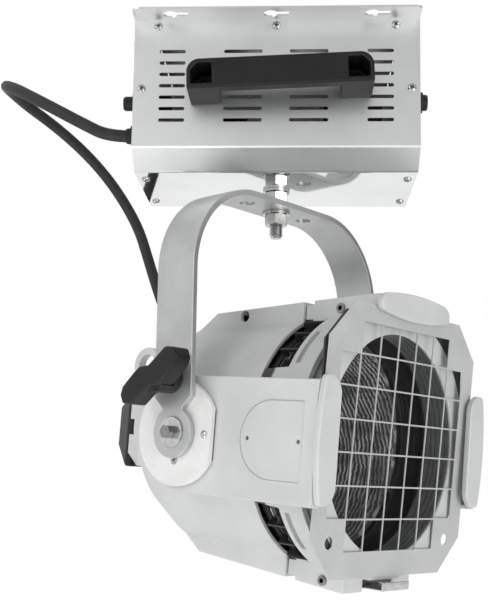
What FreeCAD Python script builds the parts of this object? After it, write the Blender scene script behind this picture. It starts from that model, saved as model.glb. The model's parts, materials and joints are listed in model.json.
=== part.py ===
"""A hanging stage lantern: a ballast box, a yoke below it and the lamp head in the yoke.

Row frame: +Z up, millimetres, origin in the top face of the ballast box on the line of
the hanging bolt. The box lies along X and its handle side faces -Y.
Head frame: origin where the tilt axis crosses the middle of the yoke, X along the tilt
axis towards the far arm, -Y along the light beam, +Z up. Its beam axis lies axis_rise
above the tilt axis.
"""
import FreeCAD
import Part
import math
import os
import re
import Sketcher
from FreeCAD import Placement, Rotation, Vector

# Sizes: alias, value in millimetres or degrees or a formula over other sizes, what it is.
SIZES = [
    # ballast box
    ("box_width", 240, "ballast box along X"),
    ("box_depth", 155, "ballast box front to rear"),
    ("box_height", 112.5, "upright front and rear panels"),
    ("fold_depth", 21.7, "sloping lower fold, inwards"),
    ("fold_height", 15.8, "sloping lower fold, downwards"),
    ("flange_reach", 23.2, "hanging flange beyond the panel"),
    ("flange_corner", 6, "rounded flange corner"),
    ("sheet", 1.5, "box sheet"),
    ("bend_radius", 2.5, "outer radius of the box folds"),
    ("key_head_radius", 6.2, "keyhole, round end"),
    ("key_slot_radius", 3.6, "keyhole, half width of the slot"),
    ("key_length", 15, "keyhole, round end to slot end"),
    ("key_pitch", 84, "keyholes along the flange"),
    ("key_row", 89, "keyhole line from the box centre"),
    ("key_shift", -4.4, "round end of the middle keyhole from the middle"),
    ("vent_width", 3, "box vent slot, height"),
    ("vent_pitch", 10, "box vent rows"),
    ("vent_top", 29.4, "first vent row below the top"),
    ("vent_rows", 7, "box vent rows, count"),
    ("vent_inner_length", 32.5, "inner vent slots"),
    ("vent_inner_centre", 27.6, "inner vent slots from the middle"),
    ("vent_outer_length", 22, "outer vent slots"),
    ("vent_outer_centre", 87.2, "outer vent slots from the middle"),
    ("tray_lip", 14, "folded lip of the end trays"),
    ("lid_drop", 13, "folded lip of the lid"),
    ("seam_gap", 1, "gap between lid lip and end tray"),
    ("panel_head_radius", 3.6, "panel screw head"),
    ("panel_head_height", 2.2, "panel screw head"),
    ("panel_shank_radius", 1.9, "panel screw shank"),
    ("screw_clearance", 0.1, "hole larger than its screw, radius"),
    ("lid_screw_offset", 20, "outer lid screws from the box ends"),
    ("lid_screw_drop", 6.8, "lid screws below the top"),
    ("end_screw_inset", 7, "end tray screws from the box end"),
    ("end_screw_drop", 62, "front end tray screws below the top"),
    ("base_screw_offset", 36, "bottom end tray screws from the middle"),
    # carry handle
    ("handle_length", 151, "carry handle"),
    ("handle_height", 25, "carry handle"),
    ("handle_reach", 40, "carry handle standing off the panel"),
    ("handle_bar", 12, "grip bar, front to rear"),
    ("handle_foot", 26, "handle foot along X"),
    ("handle_shift", 4, "handle centre to the right of the middle"),
    ("handle_drop", 61, "handle centre below the top"),
    ("handle_skew", 2.4, "handle turned on the panel, degrees"),
    ("handle_corner", 11, "rounded upper ends of the handle"),
    ("handle_pocket", 17, "screw pocket in each foot"),
    ("handle_wall", 3.5, "wall around the screw pocket"),
    ("handle_pocket_depth", 30, "screw pocket, from the front"),
    ("handle_screw_radius", 2.5, "handle screw shank"),
    ("handle_screw_head", 4.5, "handle screw head radius"),
    ("handle_nut_radius", 4, "handle nut, half across flats"),
    ("handle_nut", 4, "handle nut"),
    ("handle_edge", 2, "rounded front edge of the handle"),
    # fittings on the left end
    ("fitting_row", 55, "end fittings in front of the middle"),
    ("rocker_drop", 20, "rocker switch below the top"),
    ("rocker_height", 18, "rocker switch bezel height"),
    ("rocker_width", 13, "rocker switch bezel width"),
    ("rocker_bezel", 2, "rocker switch bezel thickness"),
    ("rocker_body", 16, "rocker switch body inside the box"),
    ("rocker_flange", 1, "rocker switch bezel wider than its body"),
    ("rocker_wall", 1.5, "wall beside the rocker"),
    ("rocker_well", 6.8, "well for the rocker, below the bezel face"),
    ("rocker_play", 0.3, "gap beside the rocker"),
    ("rocker_pin", 1, "rocker trunnion radius"),
    ("rocker_tilt", 11, "rocker lean to one side, degrees"),
    ("fuse_drop", 67, "fuse holder below the top"),
    ("fuse_flange_radius", 10, "fuse holder flange"),
    ("fuse_flange", 2.5, "fuse holder flange thickness"),
    ("fuse_bore", 4.2, "fuse holder bore radius"),
    ("fuse_body_radius", 6.5, "fuse holder body radius"),
    ("fuse_body", 30, "fuse holder body inside the box"),
    ("fuse_cap_radius", 6.2, "fuse cap"),
    ("fuse_cap", 8.5, "fuse cap standing out"),
    ("fuse_stem", 8, "fuse cap stem inside the holder"),
    ("fuse_link_radius", 2.6, "fuse link"),
    ("fuse_link", 20, "fuse link length"),
    ("gland_drop", 96, "lamp cable gland below the top"),
    ("gland_radius", 7.8, "gland hexagon, half across flats"),
    ("gland_flange", 4, "gland hexagon thickness"),
    ("gland_body", 8, "gland body inside the wall"),
    ("gland_thread_radius", 6.8, "gland thread"),
    ("cable_radius", 5.25, "lamp cable"),
    ("gland_dome", 4, "gland seal nut beyond the hexagon"),
    ("gland_dome_radius", 6.8, "gland seal nut"),
    ("gland_socket", 4, "cable seated inside the gland"),
    ("inlet_gland_drop", 67, "mains gland below the top"),
    # gear inside the box
    ("choke_offset", 66, "choke to the right of the middle"),
    ("core_length", 50, "choke core along X"),
    ("core_width", 80, "choke core along Y"),
    ("core_height", 64, "choke core"),
    ("core_leg", 13, "choke core, outer legs"),
    ("core_window", 14, "choke core windows"),
    ("coil_margin", 0.5, "gap between coil and core"),
    ("coil_wall", 12, "choke coil wall"),
    ("capacitor_offset", 70, "capacitor to the left of the middle"),
    ("capacitor_radius", 18, "capacitor"),
    ("capacitor_length", 90, "capacitor"),
    ("ignitor_offset", 55, "ignitor to the left of the middle"),
    ("ignitor_length", 50, "ignitor along X"),
    ("ignitor_width", 26, "ignitor along Y"),
    ("ignitor_height", 45, "ignitor"),
    ("ignitor_drop", 82, "ignitor underside below the top"),
    ("terminal_length", 50, "terminal block along X"),
    ("terminal_width", 17, "terminal block along Y"),
    ("terminal_height", 15, "terminal block"),
    ("terminal_row", 33.5, "terminal block behind the front panel"),
    # hanging bolt
    ("bolt_radius", 6, "M12 hanging bolt"),
    ("bolt_drop", 172.5, "bolt end below the top"),
    ("bolt_head", 7.5, "hanging bolt head"),
    ("nut_radius", 9.5, "M12 nut, half across flats"),
    ("nut_height", 10, "M12 nut"),
    ("washer_radius", 12, "M12 washer"),
    ("washer", 2.5, "M12 washer"),
    ("backing", 3, "backing plate inside the box"),
    ("backing_size", 60, "backing plate side"),
    # yoke
    ("arm_clear", 10.5, "outer face of a yoke arm beyond the side panel"),
    ("yoke_half_width", "pad_face + arm_clear", "outer faces of the yoke from its middle"),
    ("yoke_bar", 5, "yoke bar thickness"),
    ("yoke_width", 40, "yoke bar width"),
    ("yoke_bend", 76, "outer radius of the yoke bends"),
    ("eye_radius", 20.3, "yoke eye"),
    ("neck_width", 21, "yoke neck above the eye"),
    ("shoulder_rise", 28, "yoke shoulders above the tilt axis"),
    ("spare_hole_radius", 6.5, "spare yoke holes"),
    ("spare_hole_offset", 39.5, "spare yoke holes from the bolt"),
    ("pivot_drop", 351, "tilt axis below the top"),
    ("pan", 51.8, "head turned about the bolt, degrees"),
    ("tilt", 4.6, "head tipped down, degrees"),
    ("running_gap", 0.05, "radial clearance of a running fit"),
    ("face_gap", 0.1, "gap between faces that slide"),
    # tilt pivot
    ("pivot_radius", 3, "M6 tilt bolt"),
    ("pivot_washer_radius", 12.3, "tilt washer"),
    ("pivot_washer", 1.6, "tilt washer"),
    ("pivot_head_radius", 4.8, "tilt bolt head, half across flats"),
    ("pivot_head", 6.3, "tilt bolt head"),
    ("pivot_nut_radius", 5, "tilt nut, half across flats"),
    ("pivot_nut", 5, "tilt nut"),
    ("disc_radius", 42, "friction disc"),
    ("disc_flat", 36.6, "friction disc, flat side from its centre"),
    ("pad_gasket", 1, "fibre gasket behind the disc"),
    ("disc_screw_drop", 21.6, "disc screws from the tilt axis"),
    ("disc_screw_radius", 2, "disc screw shank"),
    ("disc_screw_head", 3.8, "disc screw head radius"),
    ("disc_screw_sink", 2.2, "countersink of the disc screws"),
    ("rivet_forward", 30.2, "disc rivet from the tilt axis"),
    ("rivet_head", 1.2, "disc rivet head height"),
    ("rivet_radius", 3, "disc rivet"),
    # lock knob
    ("knob_rise", 42, "lock knob above the tilt axis"),
    ("knob_stud_radius", 4, "lock knob stud"),
    ("knob_boss_radius", 12, "lock knob boss"),
    ("knob_boss", 11, "lock knob boss length"),
    ("knob_span", 67, "lock knob, tip to tip"),
    ("knob_thick", 17, "lock knob wing, along the stud"),
    ("knob_lobe", 12.5, "lock knob lobes, off the middle line"),
    ("knob_turn", 24, "lock knob turned up, degrees"),
    ("knob_lift", 0.5, "lock knob boss clear of the arm"),
    ("knob_hub", 11, "lock knob hub, half height"),
    ("knob_waist", 7.5, "lock knob between hub and lobe"),
    # head shell
    ("axis_rise", 3, "beam axis above the tilt axis"),
    ("shell_front", 60, "shell rim in front of the tilt axis"),
    ("shell_front_radius", 104, "shell rim"),
    ("shell_shoulder", 52, "shell shoulder behind the tilt axis"),
    ("shell_shoulder_radius", 99.5, "shell at the shoulder"),
    ("shell_waist", 84, "shell waist behind the tilt axis"),
    ("shell_waist_radius", 82, "shell at the waist"),
    ("shell_rear", 128, "shell rear face behind the tilt axis"),
    ("shell_rear_radius", 46, "shell rear face"),
    ("casting", 3.5, "wall of the castings"),
    ("rib_half_width", 46, "raised ribs, half width"),
    ("rib_front_height", 113, "top and bottom ribs at the shell rim"),
    ("rib_rear_height", 105, "top and bottom ribs at their rear"),
    ("rib_slope", 17, "sloping rear end of the ribs"),
    ("rib_hole_radius", 4.7, "hole in the sides of the top rib"),
    ("rib_hole_up", 102, "hole in the top rib above the tilt axis"),
    ("rib_hole_back", 3, "hole in the top rib behind the tilt axis"),
    ("rib_rear", 35, "full height of the ribs ends behind the axis"),
    ("pad_clear", 10.5, "flat side panels beyond the front frame"),
    ("pad_face", "frame_half + pad_clear", "flat side panels from the middle"),
    ("pad_wall", 3.5, "side panel wall"),
    ("brow_rear", 70, "rear ends of the ribs of the front frame"),
    ("rib_groove", 3, "groove between the ribs of the two castings"),
    ("seam_step", 0.5, "front frame below the shell rim at their seam"),
    ("trench_front", 65, "front edge of the trench behind the vents"),
    ("trench_radius", 97, "floor of the trench behind the vents"),
    ("crest_rise", 10.5, "top rib beyond the front frame"),
    ("crest", "frame_half + crest_rise + axis_rise", "top rib above the tilt axis at the lips"),
    ("chin_drop", 10, "bottom rib beyond the front frame"),
    ("chin", "frame_half + chin_drop - axis_rise", "bottom rib below the tilt axis"),
    ("chin_front", 116.5, "front end of the bottom rib"),
    ("tongue_gap", 0.3, "side tongue clear of the front frame"),
    ("side_pad_rise", 0.6, "raised pad on the side tongues"),
    ("side_pad_half", 29.5, "raised pad, half height"),
    ("side_pad_rear", 63, "raised pad, round rear end"),
    ("side_pad_front", 122, "raised pad, front edge"),
    ("side_pad_hole", 1.7, "holes in the raised pad, radius"),
    ("side_pad_hole_inset", 7, "rear hole from the round end"),
    ("side_pad_hole_front", 3.4, "front hole from the front edge"),
    ("vent_front", 86, "front edge of the head vents"),
    ("vent_fin_drop", 2.5, "fins below the outside of the head"),
    ("vent_first", 30, "vents start above the side, degrees"),
    ("vent_last", 63.5, "vents end, degrees"),
    ("vent_fin", 1.2, "fins across the vents, degrees"),
    ("seat_radius", 92, "inner seat of the reflector rim"),
    ("seat_front", 64.5, "front face of the reflector seat"),
    ("sleeve_radius", 96, "bore of the sleeve in front of the seat"),
    ("barrel_radius", 101.5, "bore of the front frame"),
    ("barrel_rear", 72, "rear end of the wider bore"),
    ("frame_face", 123.5, "front face of the front frame"),
    ("frame_collar", 107, "front frame, outside radius"),
    ("frame_half", 105, "flats of the front frame from the middle"),
    ("window_rear", 109, "side windows, rear edge"),
    ("window_front", 120, "side windows, front edge"),
    ("window_first", 24, "side windows start above the side, degrees"),
    ("window_last", 46, "side windows end, degrees"),
    ("frame_opening", 88, "opening radius"),
    ("frame_wall", 2.5, "front wall of the frame"),
    ("recess_front", 95, "front edge of the thin groove"),
    ("recess_first", 32, "thin groove starts above the side, degrees"),
    ("recess_last", 52, "thin groove ends, degrees"),
    ("recess_width", 4.5, "thin groove"),
    ("recess_depth", 4, "thin groove"),
    ("lug_side", 22, "safety eye from the middle"),
    ("lug_back", 138, "safety eye behind the tilt axis"),
    ("lug_up", 60, "safety eye above the tilt axis"),
    ("lug_radius", 17, "safety eye, outside"),
    ("lug_hole_radius", 10.5, "safety eye, hole"),
    ("lug_thick", 9, "safety eye"),
    ("port_side", 11, "cable gland of the head to the far side"),
    ("port_radius", 57, "cable gland of the head from the beam axis"),
    ("port_boss", 10, "boss under the gland, radius"),
    ("port_rise", 3, "boss under the gland above the casting"),
    # accessory slot
    ("slot_depth", 9.5, "accessory slot, front to rear"),
    ("frame_screw_forward", 97, "frame screws in front of the tilt axis"),
    ("frame_screw_up", 107.2, "upper frame screws above the tilt axis"),
    ("frame_screw_down", 104.6, "lower frame screws below the tilt axis"),
    ("frame_screw_length", 10, "frame screws inside the ribs"),
    ("frame_screw_head", 4, "frame screw head radius"),
    ("frame_screw_height", 1.8, "frame screw head height"),
    ("frame_screw_shank", 2, "frame screw shank"),
    ("lip", 5.5, "holding lips, thickness"),
    ("lip_cover", 12, "side lips over the guard plate"),
    ("lip_edge", "guard_half - lip_cover", "inner edge of the side lips"),
    ("lip_corner", 9, "cut corners of the lips"),
    ("lip_top_edge", 101, "lower edge of the top lip, middle"),
    ("lip_top_ends", 105.5, "lower edge of the top lip, ends"),
    ("slot_play", 0.5, "slot ceiling above the guard plate"),
    ("slot_roof", "guard_half + guard_up + slot_play", "slot ceiling above the tilt axis"),
    ("guard_inset", 1, "guard plate edge inside the front frame"),
    ("guard_half", "frame_half - guard_inset", "guard plate, half across"),
    ("guard_corner", 29, "guard plate, cut corner"),
    ("guard_up", 4.7, "guard plate centre above the tilt axis"),
    ("guard_sheet", 1, "guard plate"),
    ("guard_cell", 25, "guard mesh pitch"),
    ("guard_wire", 1.3, "guard mesh bars"),
    ("guard_rise", 3, "mesh centre above the plate centre"),
    ("guard_hole", 4.7, "guard plate hole radius"),
    ("guard_hole_side", 81, "guard plate holes from the middle"),
    ("guard_hole_drop", 75, "guard plate holes below the beam axis"),
    ("guard_forward", 128.4, "guard plate centre in front of the tilt axis"),
    ("guard_lean", 2, "guard plate leaning forward, degrees"),
    # spring clip under the slot
    ("clip_half", 18.5, "spring clip, half width"),
    ("clip_sheet", 1, "spring clip sheet"),
    ("clip_reach", 30, "spring clip in front of its pin"),
    ("clip_lip", 3.5, "spring clip lip above its pin"),
    ("clip_loop", 3, "spring clip loop radius"),
    ("clip_pin", 1.5, "clip pin radius"),
    ("clip_pin_forward", 104, "clip pin in front of the tilt axis"),
    ("clip_pin_inset", 6, "clip pin above the underside of the bottom rib"),
    ("clip_pin_drop", "chin - clip_pin_inset", "clip pin below the tilt axis"),
    ("clip_pin_half", 38, "clip pin, half length"),
    ("clip_bay", 20, "recess for the clip, half width"),
    ("clip_bay_rear", 98, "rear end of the clip recess"),
    # optics
    ("ring_rear", 94, "lens ring, rear face"),
    ("lens_radius", 92, "lens"),
    ("lens", 4, "lens"),
    ("lens_play", 0.2, "play around the lens"),
    ("baffle_wall", 1.5, "inner baffle wall"),
    ("baffle_radius", 92, "inner baffle, outside"),
    ("optic_play", 0.2, "rings inside the bore"),
    ("reflector_rim", 87, "reflector rim radius"),
    ("reflector_depth", 118, "reflector depth"),
    ("reflector_throat", 24, "reflector throat radius"),
    ("reflector_wall", 1.5, "reflector wall"),
    ("lamp_radius", 14, "lamp envelope"),
    ("lamp_length", 75, "lamp envelope"),
    ("lamp_base_radius", 15, "lamp base"),
    ("lamp_base", 26, "lamp base"),
    ("lamp_seat", 52, "lamp base front behind the tilt axis"),
    ("holder_radius", 20, "lamp holder"),
    ("holder_depth", 11, "lamp holder behind its flange"),
    ("holder_flange", 32, "lamp holder flange"),
    ("rear_opening", 30, "opening in the shell rear, radius"),
    # rear
    ("rear_plate", 15, "rear housing, front to rear"),
    ("rear_half", 37, "rear housing, half across"),
    ("rear_corner", 12, "rear housing, cut corner"),
    ("rear_notch", 14, "cooling notch in the rear housing"),
    ("rear_notch_deep", 12, "cooling notch, depth"),
    ("rear_floor", 3.5, "rear wall of the rear housing"),
    ("cap_half", 33, "rear cap, half across"),
    ("cap_drop", 5, "rear cap centre below the beam axis"),
    ("cap_neck", 2, "narrower rim of the rear cap"),
    ("cap_depth", 25, "rear cap"),
    ("cap_slope", 17, "sloping edges of the rear cap, front to rear"),
    ("cap_top_slope", 9, "sloping top edge of the rear cap, downwards"),
    ("cap_low_slope", 18, "sloping lower edge of the rear cap, upwards"),
    ("cap_side_slope", 12, "sloping side edges of the rear cap, inwards"),
    ("cap_wall", 3, "rear cap wall"),
]

doc = FreeCAD.newDocument("StageLantern")
sheet = doc.addObject("Spreadsheet::Sheet", "Sizes")
for row, (alias, number, note) in enumerate(SIZES, start=1):
    sheet.set("A%d" % row, note)
    sheet.setAlias("B%d" % row, alias)
    if not isinstance(number, str):
        sheet.set("B%d" % row, str(number))
doc.recompute()
for row, (alias, number, note) in enumerate(SIZES, start=1):
    if isinstance(number, str):
        sheet.set("B%d" % row, "=" + number)
doc.recompute()

ALIASES = {alias for alias, _, _ in SIZES}
PIECES = []
CUTS = []
INNER_FOLD = "sheet * tan(atan(fold_depth / fold_height) / 2)"
LOWER_FOLD = "sheet * tan(atan(fold_height / fold_depth) / 2)"
HALF_DEPTH = "box_depth / 2"
HALF_WIDTH = "box_width / 2"
FLOOR = "(box_height + fold_height)"
LID_SCREWS = "(box_width / 2 - lid_screw_offset)"


def formula(text):
    """Write a formula over the size names the way the sheet reads it."""
    def named(match):
        word = match.group()
        return "Sizes." + word if word in ALIASES else word
    return re.sub(r"[a-z_]+", named, str(text))


def value(text):
    """The number that a formula over the size names gives."""
    number = sheet.evalExpression(formula(text))
    return float(getattr(number, "Value", number))


def bind(thing, **formulas):
    """Bind properties of an object to formulas over the sheet."""
    for name, text in formulas.items():
        thing.setExpression(name.replace("__", "."), formula(text))


def new_body(label):
    """An empty body that is written out under its label."""
    body = doc.addObject("PartDesign::Body", label)
    body.Label = label
    return body


def new_sketch(body, name, role="XY_Plane", lift="0"):
    """A sketch on one of the body's own planes, lifted along its normal."""
    sketch = body.newObject("Sketcher::SketchObject", name)
    plane = next(item for item in body.Origin.OriginFeatures if item.Role == role)
    sketch.AttachmentSupport = [(plane, "")]
    sketch.MapMode = "FlatFace"
    bind(sketch, AttachmentOffset__Base__z=lift)
    return sketch


def hold(sketch, kind, element, point, text):
    """One driving dimension of a sketch point, tied to a formula."""
    rule = Sketcher.Constraint(kind, -1, 1, element, point, value(text))
    number = sketch.addConstraint(rule)
    sketch.setExpression("Constraints[%d]" % number, formula(text))


def polygon(sketch, points):
    """A closed outline through corners given as pairs of formulas."""
    first = sketch.GeometryCount
    count = len(points)
    corners = [Vector(value(across), value(along), 0) for across, along in points]
    for index in range(count):
        sketch.addGeometry(Part.LineSegment(corners[index], corners[(index + 1) % count]))
    for index in range(count):
        following = first + (index + 1) % count
        sketch.addConstraint(Sketcher.Constraint("Coincident", first + index, 2, following, 1))
    for index, (across, along) in enumerate(points):
        hold(sketch, "DistanceX", first + index, 1, across)
        hold(sketch, "DistanceY", first + index, 1, along)


def rectangle(sketch, left, right, low, high):
    """A rectangle between four formulas."""
    polygon(sketch, [(left, low), (right, low), (right, high), (left, high)])


def slot(sketch, left, right, level, half):
    """A slot with round ends between two formulas, lying along the sketch's X."""
    first = sketch.GeometryCount
    radius = value(half)
    start = Vector(value(left) + radius, value(level), 0)
    end = Vector(value(right) - radius, value(level), 0)
    out = Vector(0, radius, 0)
    up = Vector(0, 0, 1)
    sketch.addGeometry(Part.LineSegment(start - out, end - out))
    sketch.addGeometry(Part.ArcOfCircle(Part.Circle(end, up, radius), -math.pi / 2, math.pi / 2))
    sketch.addGeometry(Part.LineSegment(end + out, start + out))
    sketch.addGeometry(Part.ArcOfCircle(Part.Circle(start, up, radius), math.pi / 2, 1.5 * math.pi))
    for index in range(4):
        following = first + (index + 1) % 4
        sketch.addConstraint(Sketcher.Constraint("Tangent", first + index, 2, following, 1))
    for index, across in ((1, "%s - %s" % (right, half)), (3, "%s + %s" % (left, half))):
        number = sketch.addConstraint(Sketcher.Constraint("Radius", first + index, radius))
        sketch.setExpression("Constraints[%d]" % number, formula(half))
        hold(sketch, "DistanceX", first + index, 3, across)
        hold(sketch, "DistanceY", first + index, 3, level)


def circle(sketch, across, along, radius):
    """A circle whose centre and radius are formulas."""
    centre = Vector(value(across), value(along), 0)
    index = sketch.addGeometry(Part.Circle(centre, Vector(0, 0, 1), value(radius)))
    number = sketch.addConstraint(Sketcher.Constraint("Radius", index, value(radius)))
    sketch.setExpression("Constraints[%d]" % number, formula(radius))
    hold(sketch, "DistanceX", index, 3, across)
    hold(sketch, "DistanceY", index, 3, along)


def hexagon(sketch, flats):
    """A hexagon about the sketch origin, half across flats."""
    reach = "(%s) / cos(30)" % flats
    polygon(sketch, [("%s * cos(%d)" % (reach, turn), "%s * sin(%d)" % (reach, turn))
                     for turn in range(0, 360, 60)])


def pad(body, sketch, length, both=False, back=False):
    """Raise a sketch by a length, along its normal, back from it or to both sides."""
    feature = body.newObject("PartDesign::Pad", "Pad")
    feature.Profile = sketch
    feature.SideType = "Symmetric" if both else "One side"
    feature.Reversed = back
    bind(feature, Length=length)
    body.Tip = feature
    return feature


def pocket(body, sketch, length, both=False, back=False):
    """Cut a sketch by a length, against its normal, along it or to both sides."""
    feature = body.newObject("PartDesign::Pocket", "Pocket")
    feature.Profile = sketch
    feature.SideType = "Symmetric" if both else "One side"
    feature.Reversed = back
    bind(feature, Length=length)
    body.Tip = feature
    CUTS.append(feature)
    return feature


def row_of(body, cut, sketch, axis, pitch, count, back=False):
    """Repeat a cut along one axis of a sketch."""
    pattern = body.newObject("PartDesign::LinearPattern", "Row")
    pattern.Originals = [cut]
    pattern.Direction = (sketch, [axis])
    pattern.Reversed = back
    bind(pattern, Length="(%s) * (%s - 1)" % (pitch, count), Occurrences=count)
    body.Tip = pattern
    return pattern


def spun(body, points, cut=False):
    """Turn a half section, given as radius and height, about the body's Z axis."""
    sketch = new_sketch(body, "Section", "XZ_Plane")
    polygon(sketch, points)
    kind = "PartDesign::Groove" if cut else "PartDesign::Revolution"
    feature = body.newObject(kind, "Turned")
    feature.Profile = sketch
    feature.ReferenceAxis = (sketch, ["V_Axis"])
    feature.Angle = 360
    body.Tip = feature
    if cut:
        CUTS.append(feature)
    return feature


def edges_where(feature, test):
    """Names of the edges whose middle and direction pass a test."""
    doc.recompute()
    found = []
    for index, edge in enumerate(feature.Shape.Edges, start=1):
        middle = edge.valueAt((edge.FirstParameter + edge.LastParameter) / 2)
        tangent = edge.tangentAt((edge.FirstParameter + edge.LastParameter) / 2)
        if test(middle, tangent):
            found.append("Edge%d" % index)
    if not found:
        raise RuntimeError("no edges found on " + feature.Label)
    return found


def fillet(body, feature, names, radius):
    """Round edges of the body's last feature."""
    rounding = body.newObject("PartDesign::Fillet", "Rounding")
    rounding.Base = (feature, names)
    bind(rounding, Radius=radius)
    body.Tip = rounding
    return rounding


def keep(piece, placement=None):
    """Place a finished piece and list it for writing."""
    if placement is not None:
        piece.Placement = placement
    PIECES.append(piece)
    return piece


def turned(label, points, placement=None):
    """A piece turned from one half section."""
    body = new_body(label)
    spun(body, points)
    return keep(body, placement)


def group(label, source, places):
    """Separate copies of one fastener in one node."""
    doc.recompute()
    copies = []
    for place in places:
        copy = source.Shape.copy()
        copy.Placement = place
        copies.append(copy)
    node = doc.addObject("Part::Feature", label)
    node.Shape = Part.makeCompound(copies)
    node.Label = label
    return keep(node)


def at(across, along, up):
    """A placement at a point given by three formulas."""
    return Placement(Vector(value(across), value(along), value(up)), Rotation())


def facing(right, up, out):
    """A rotation that takes X, Y and Z to three directions."""
    return Placement(Vector(), Rotation(Vector(*right), Vector(*up), Vector(*out), "ZYX"))


def screw(label, head, height, shank, length):
    """A pan head screw seated at its origin, head up, with a cross recess."""
    body = new_body(label)
    spun(body, [("0", "-(%s)" % length), (shank, "-(%s)" % length), (shank, "0"), (head, "0"),
                (head, "(%s) * 0.5" % height), ("(%s) * 0.7" % head, height), ("0", height)])
    cross = new_sketch(body, "Recess", "XY_Plane", height)
    arm = "(%s) * 0.55" % head
    slot = "(%s) * 0.12" % head
    corners = [(arm, slot), (slot, slot), (slot, arm), ("-" + slot, arm), ("-" + slot, slot),
               ("-" + arm, slot), ("-" + arm, "-" + slot), ("-" + slot, "-" + slot),
               ("-" + slot, "-" + arm), (slot, "-" + arm), (slot, "-" + slot), (arm, "-" + slot)]
    polygon(cross, corners)
    pocket(body, cross, "(%s) * 0.6" % height)
    return body


def nut(label, flats, height, bore):
    """A hexagon nut standing on its origin."""
    body = new_body(label)
    outline = new_sketch(body, "Outline")
    hexagon(outline, flats)
    circle(outline, "0", "0", bore)
    pad(body, outline, height)
    return body


def washer(label, radius, height, bore):
    """A washer standing on its origin."""
    body = new_body(label)
    outline = new_sketch(body, "Outline")
    circle(outline, "0", "0", radius)
    circle(outline, "0", "0", bore)
    pad(body, outline, height)
    return body


def bolt(label, flats, height, radius, length):
    """A hexagon bolt seated at its origin, head up."""
    body = new_body(label)
    head = new_sketch(body, "Head")
    hexagon(head, flats)
    pad(body, head, height)
    shank = new_sketch(body, "Shank")
    circle(shank, "0", "0", radius)
    pad(body, shank, length, back=True)
    return body


# Frames: the yoke turns about the bolt, the head about the tilt axis. BEAM has Z along
# the light beam and Y up; the side frames have X forward, Z out through the side panel.
ROW = Placement()
YOKE = Placement(Vector(), Rotation(Vector(0, 0, 1), value("pan")))
TILT = Placement(Vector(), Rotation(Vector(1, 0, 0), value("tilt")))
HEAD = YOKE * at("0", "0", "-pivot_drop") * TILT
BEAM = HEAD * at("0", "0", "axis_rise") * Placement(Vector(), Rotation(Vector(1, 0, 0), 90))
NEAR = HEAD * facing((0, -1, 0), (0, 0, 1), (-1, 0, 0))
FAR = HEAD * facing((0, -1, 0), (0, 0, -1), (1, 0, 0))
FRONTWARD = facing((1, 0, 0), (0, 0, 1), (0, -1, 0))
REARWARD = facing((-1, 0, 0), (0, 0, 1), (0, 1, 0))
DOWNWARD = facing((1, 0, 0), (0, -1, 0), (0, 0, -1))
LEFTWARD = facing((0, -1, 0), (0, 0, 1), (-1, 0, 0))
RIGHTWARD = facing((0, 1, 0), (0, 0, 1), (1, 0, 0))


# ---------------------------------------------------------------- ballast box
def box_outline(layers, top):
    """Cross-section of the box, inset by whole sheet thicknesses."""
    side = "(%s - %s * sheet)" % (HALF_DEPTH, layers)
    fold_up = "-box_height + %s * %s" % (layers, INNER_FOLD)
    low_side = "(%s - fold_depth - %s * %s)" % (HALF_DEPTH, layers, LOWER_FOLD)
    low = "-%s + %s * sheet" % (FLOOR, layers)
    return [("-" + side, top), ("-" + side, fold_up), ("-" + low_side, low),
            (low_side, low), (side, fold_up), (side, top)]


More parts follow.
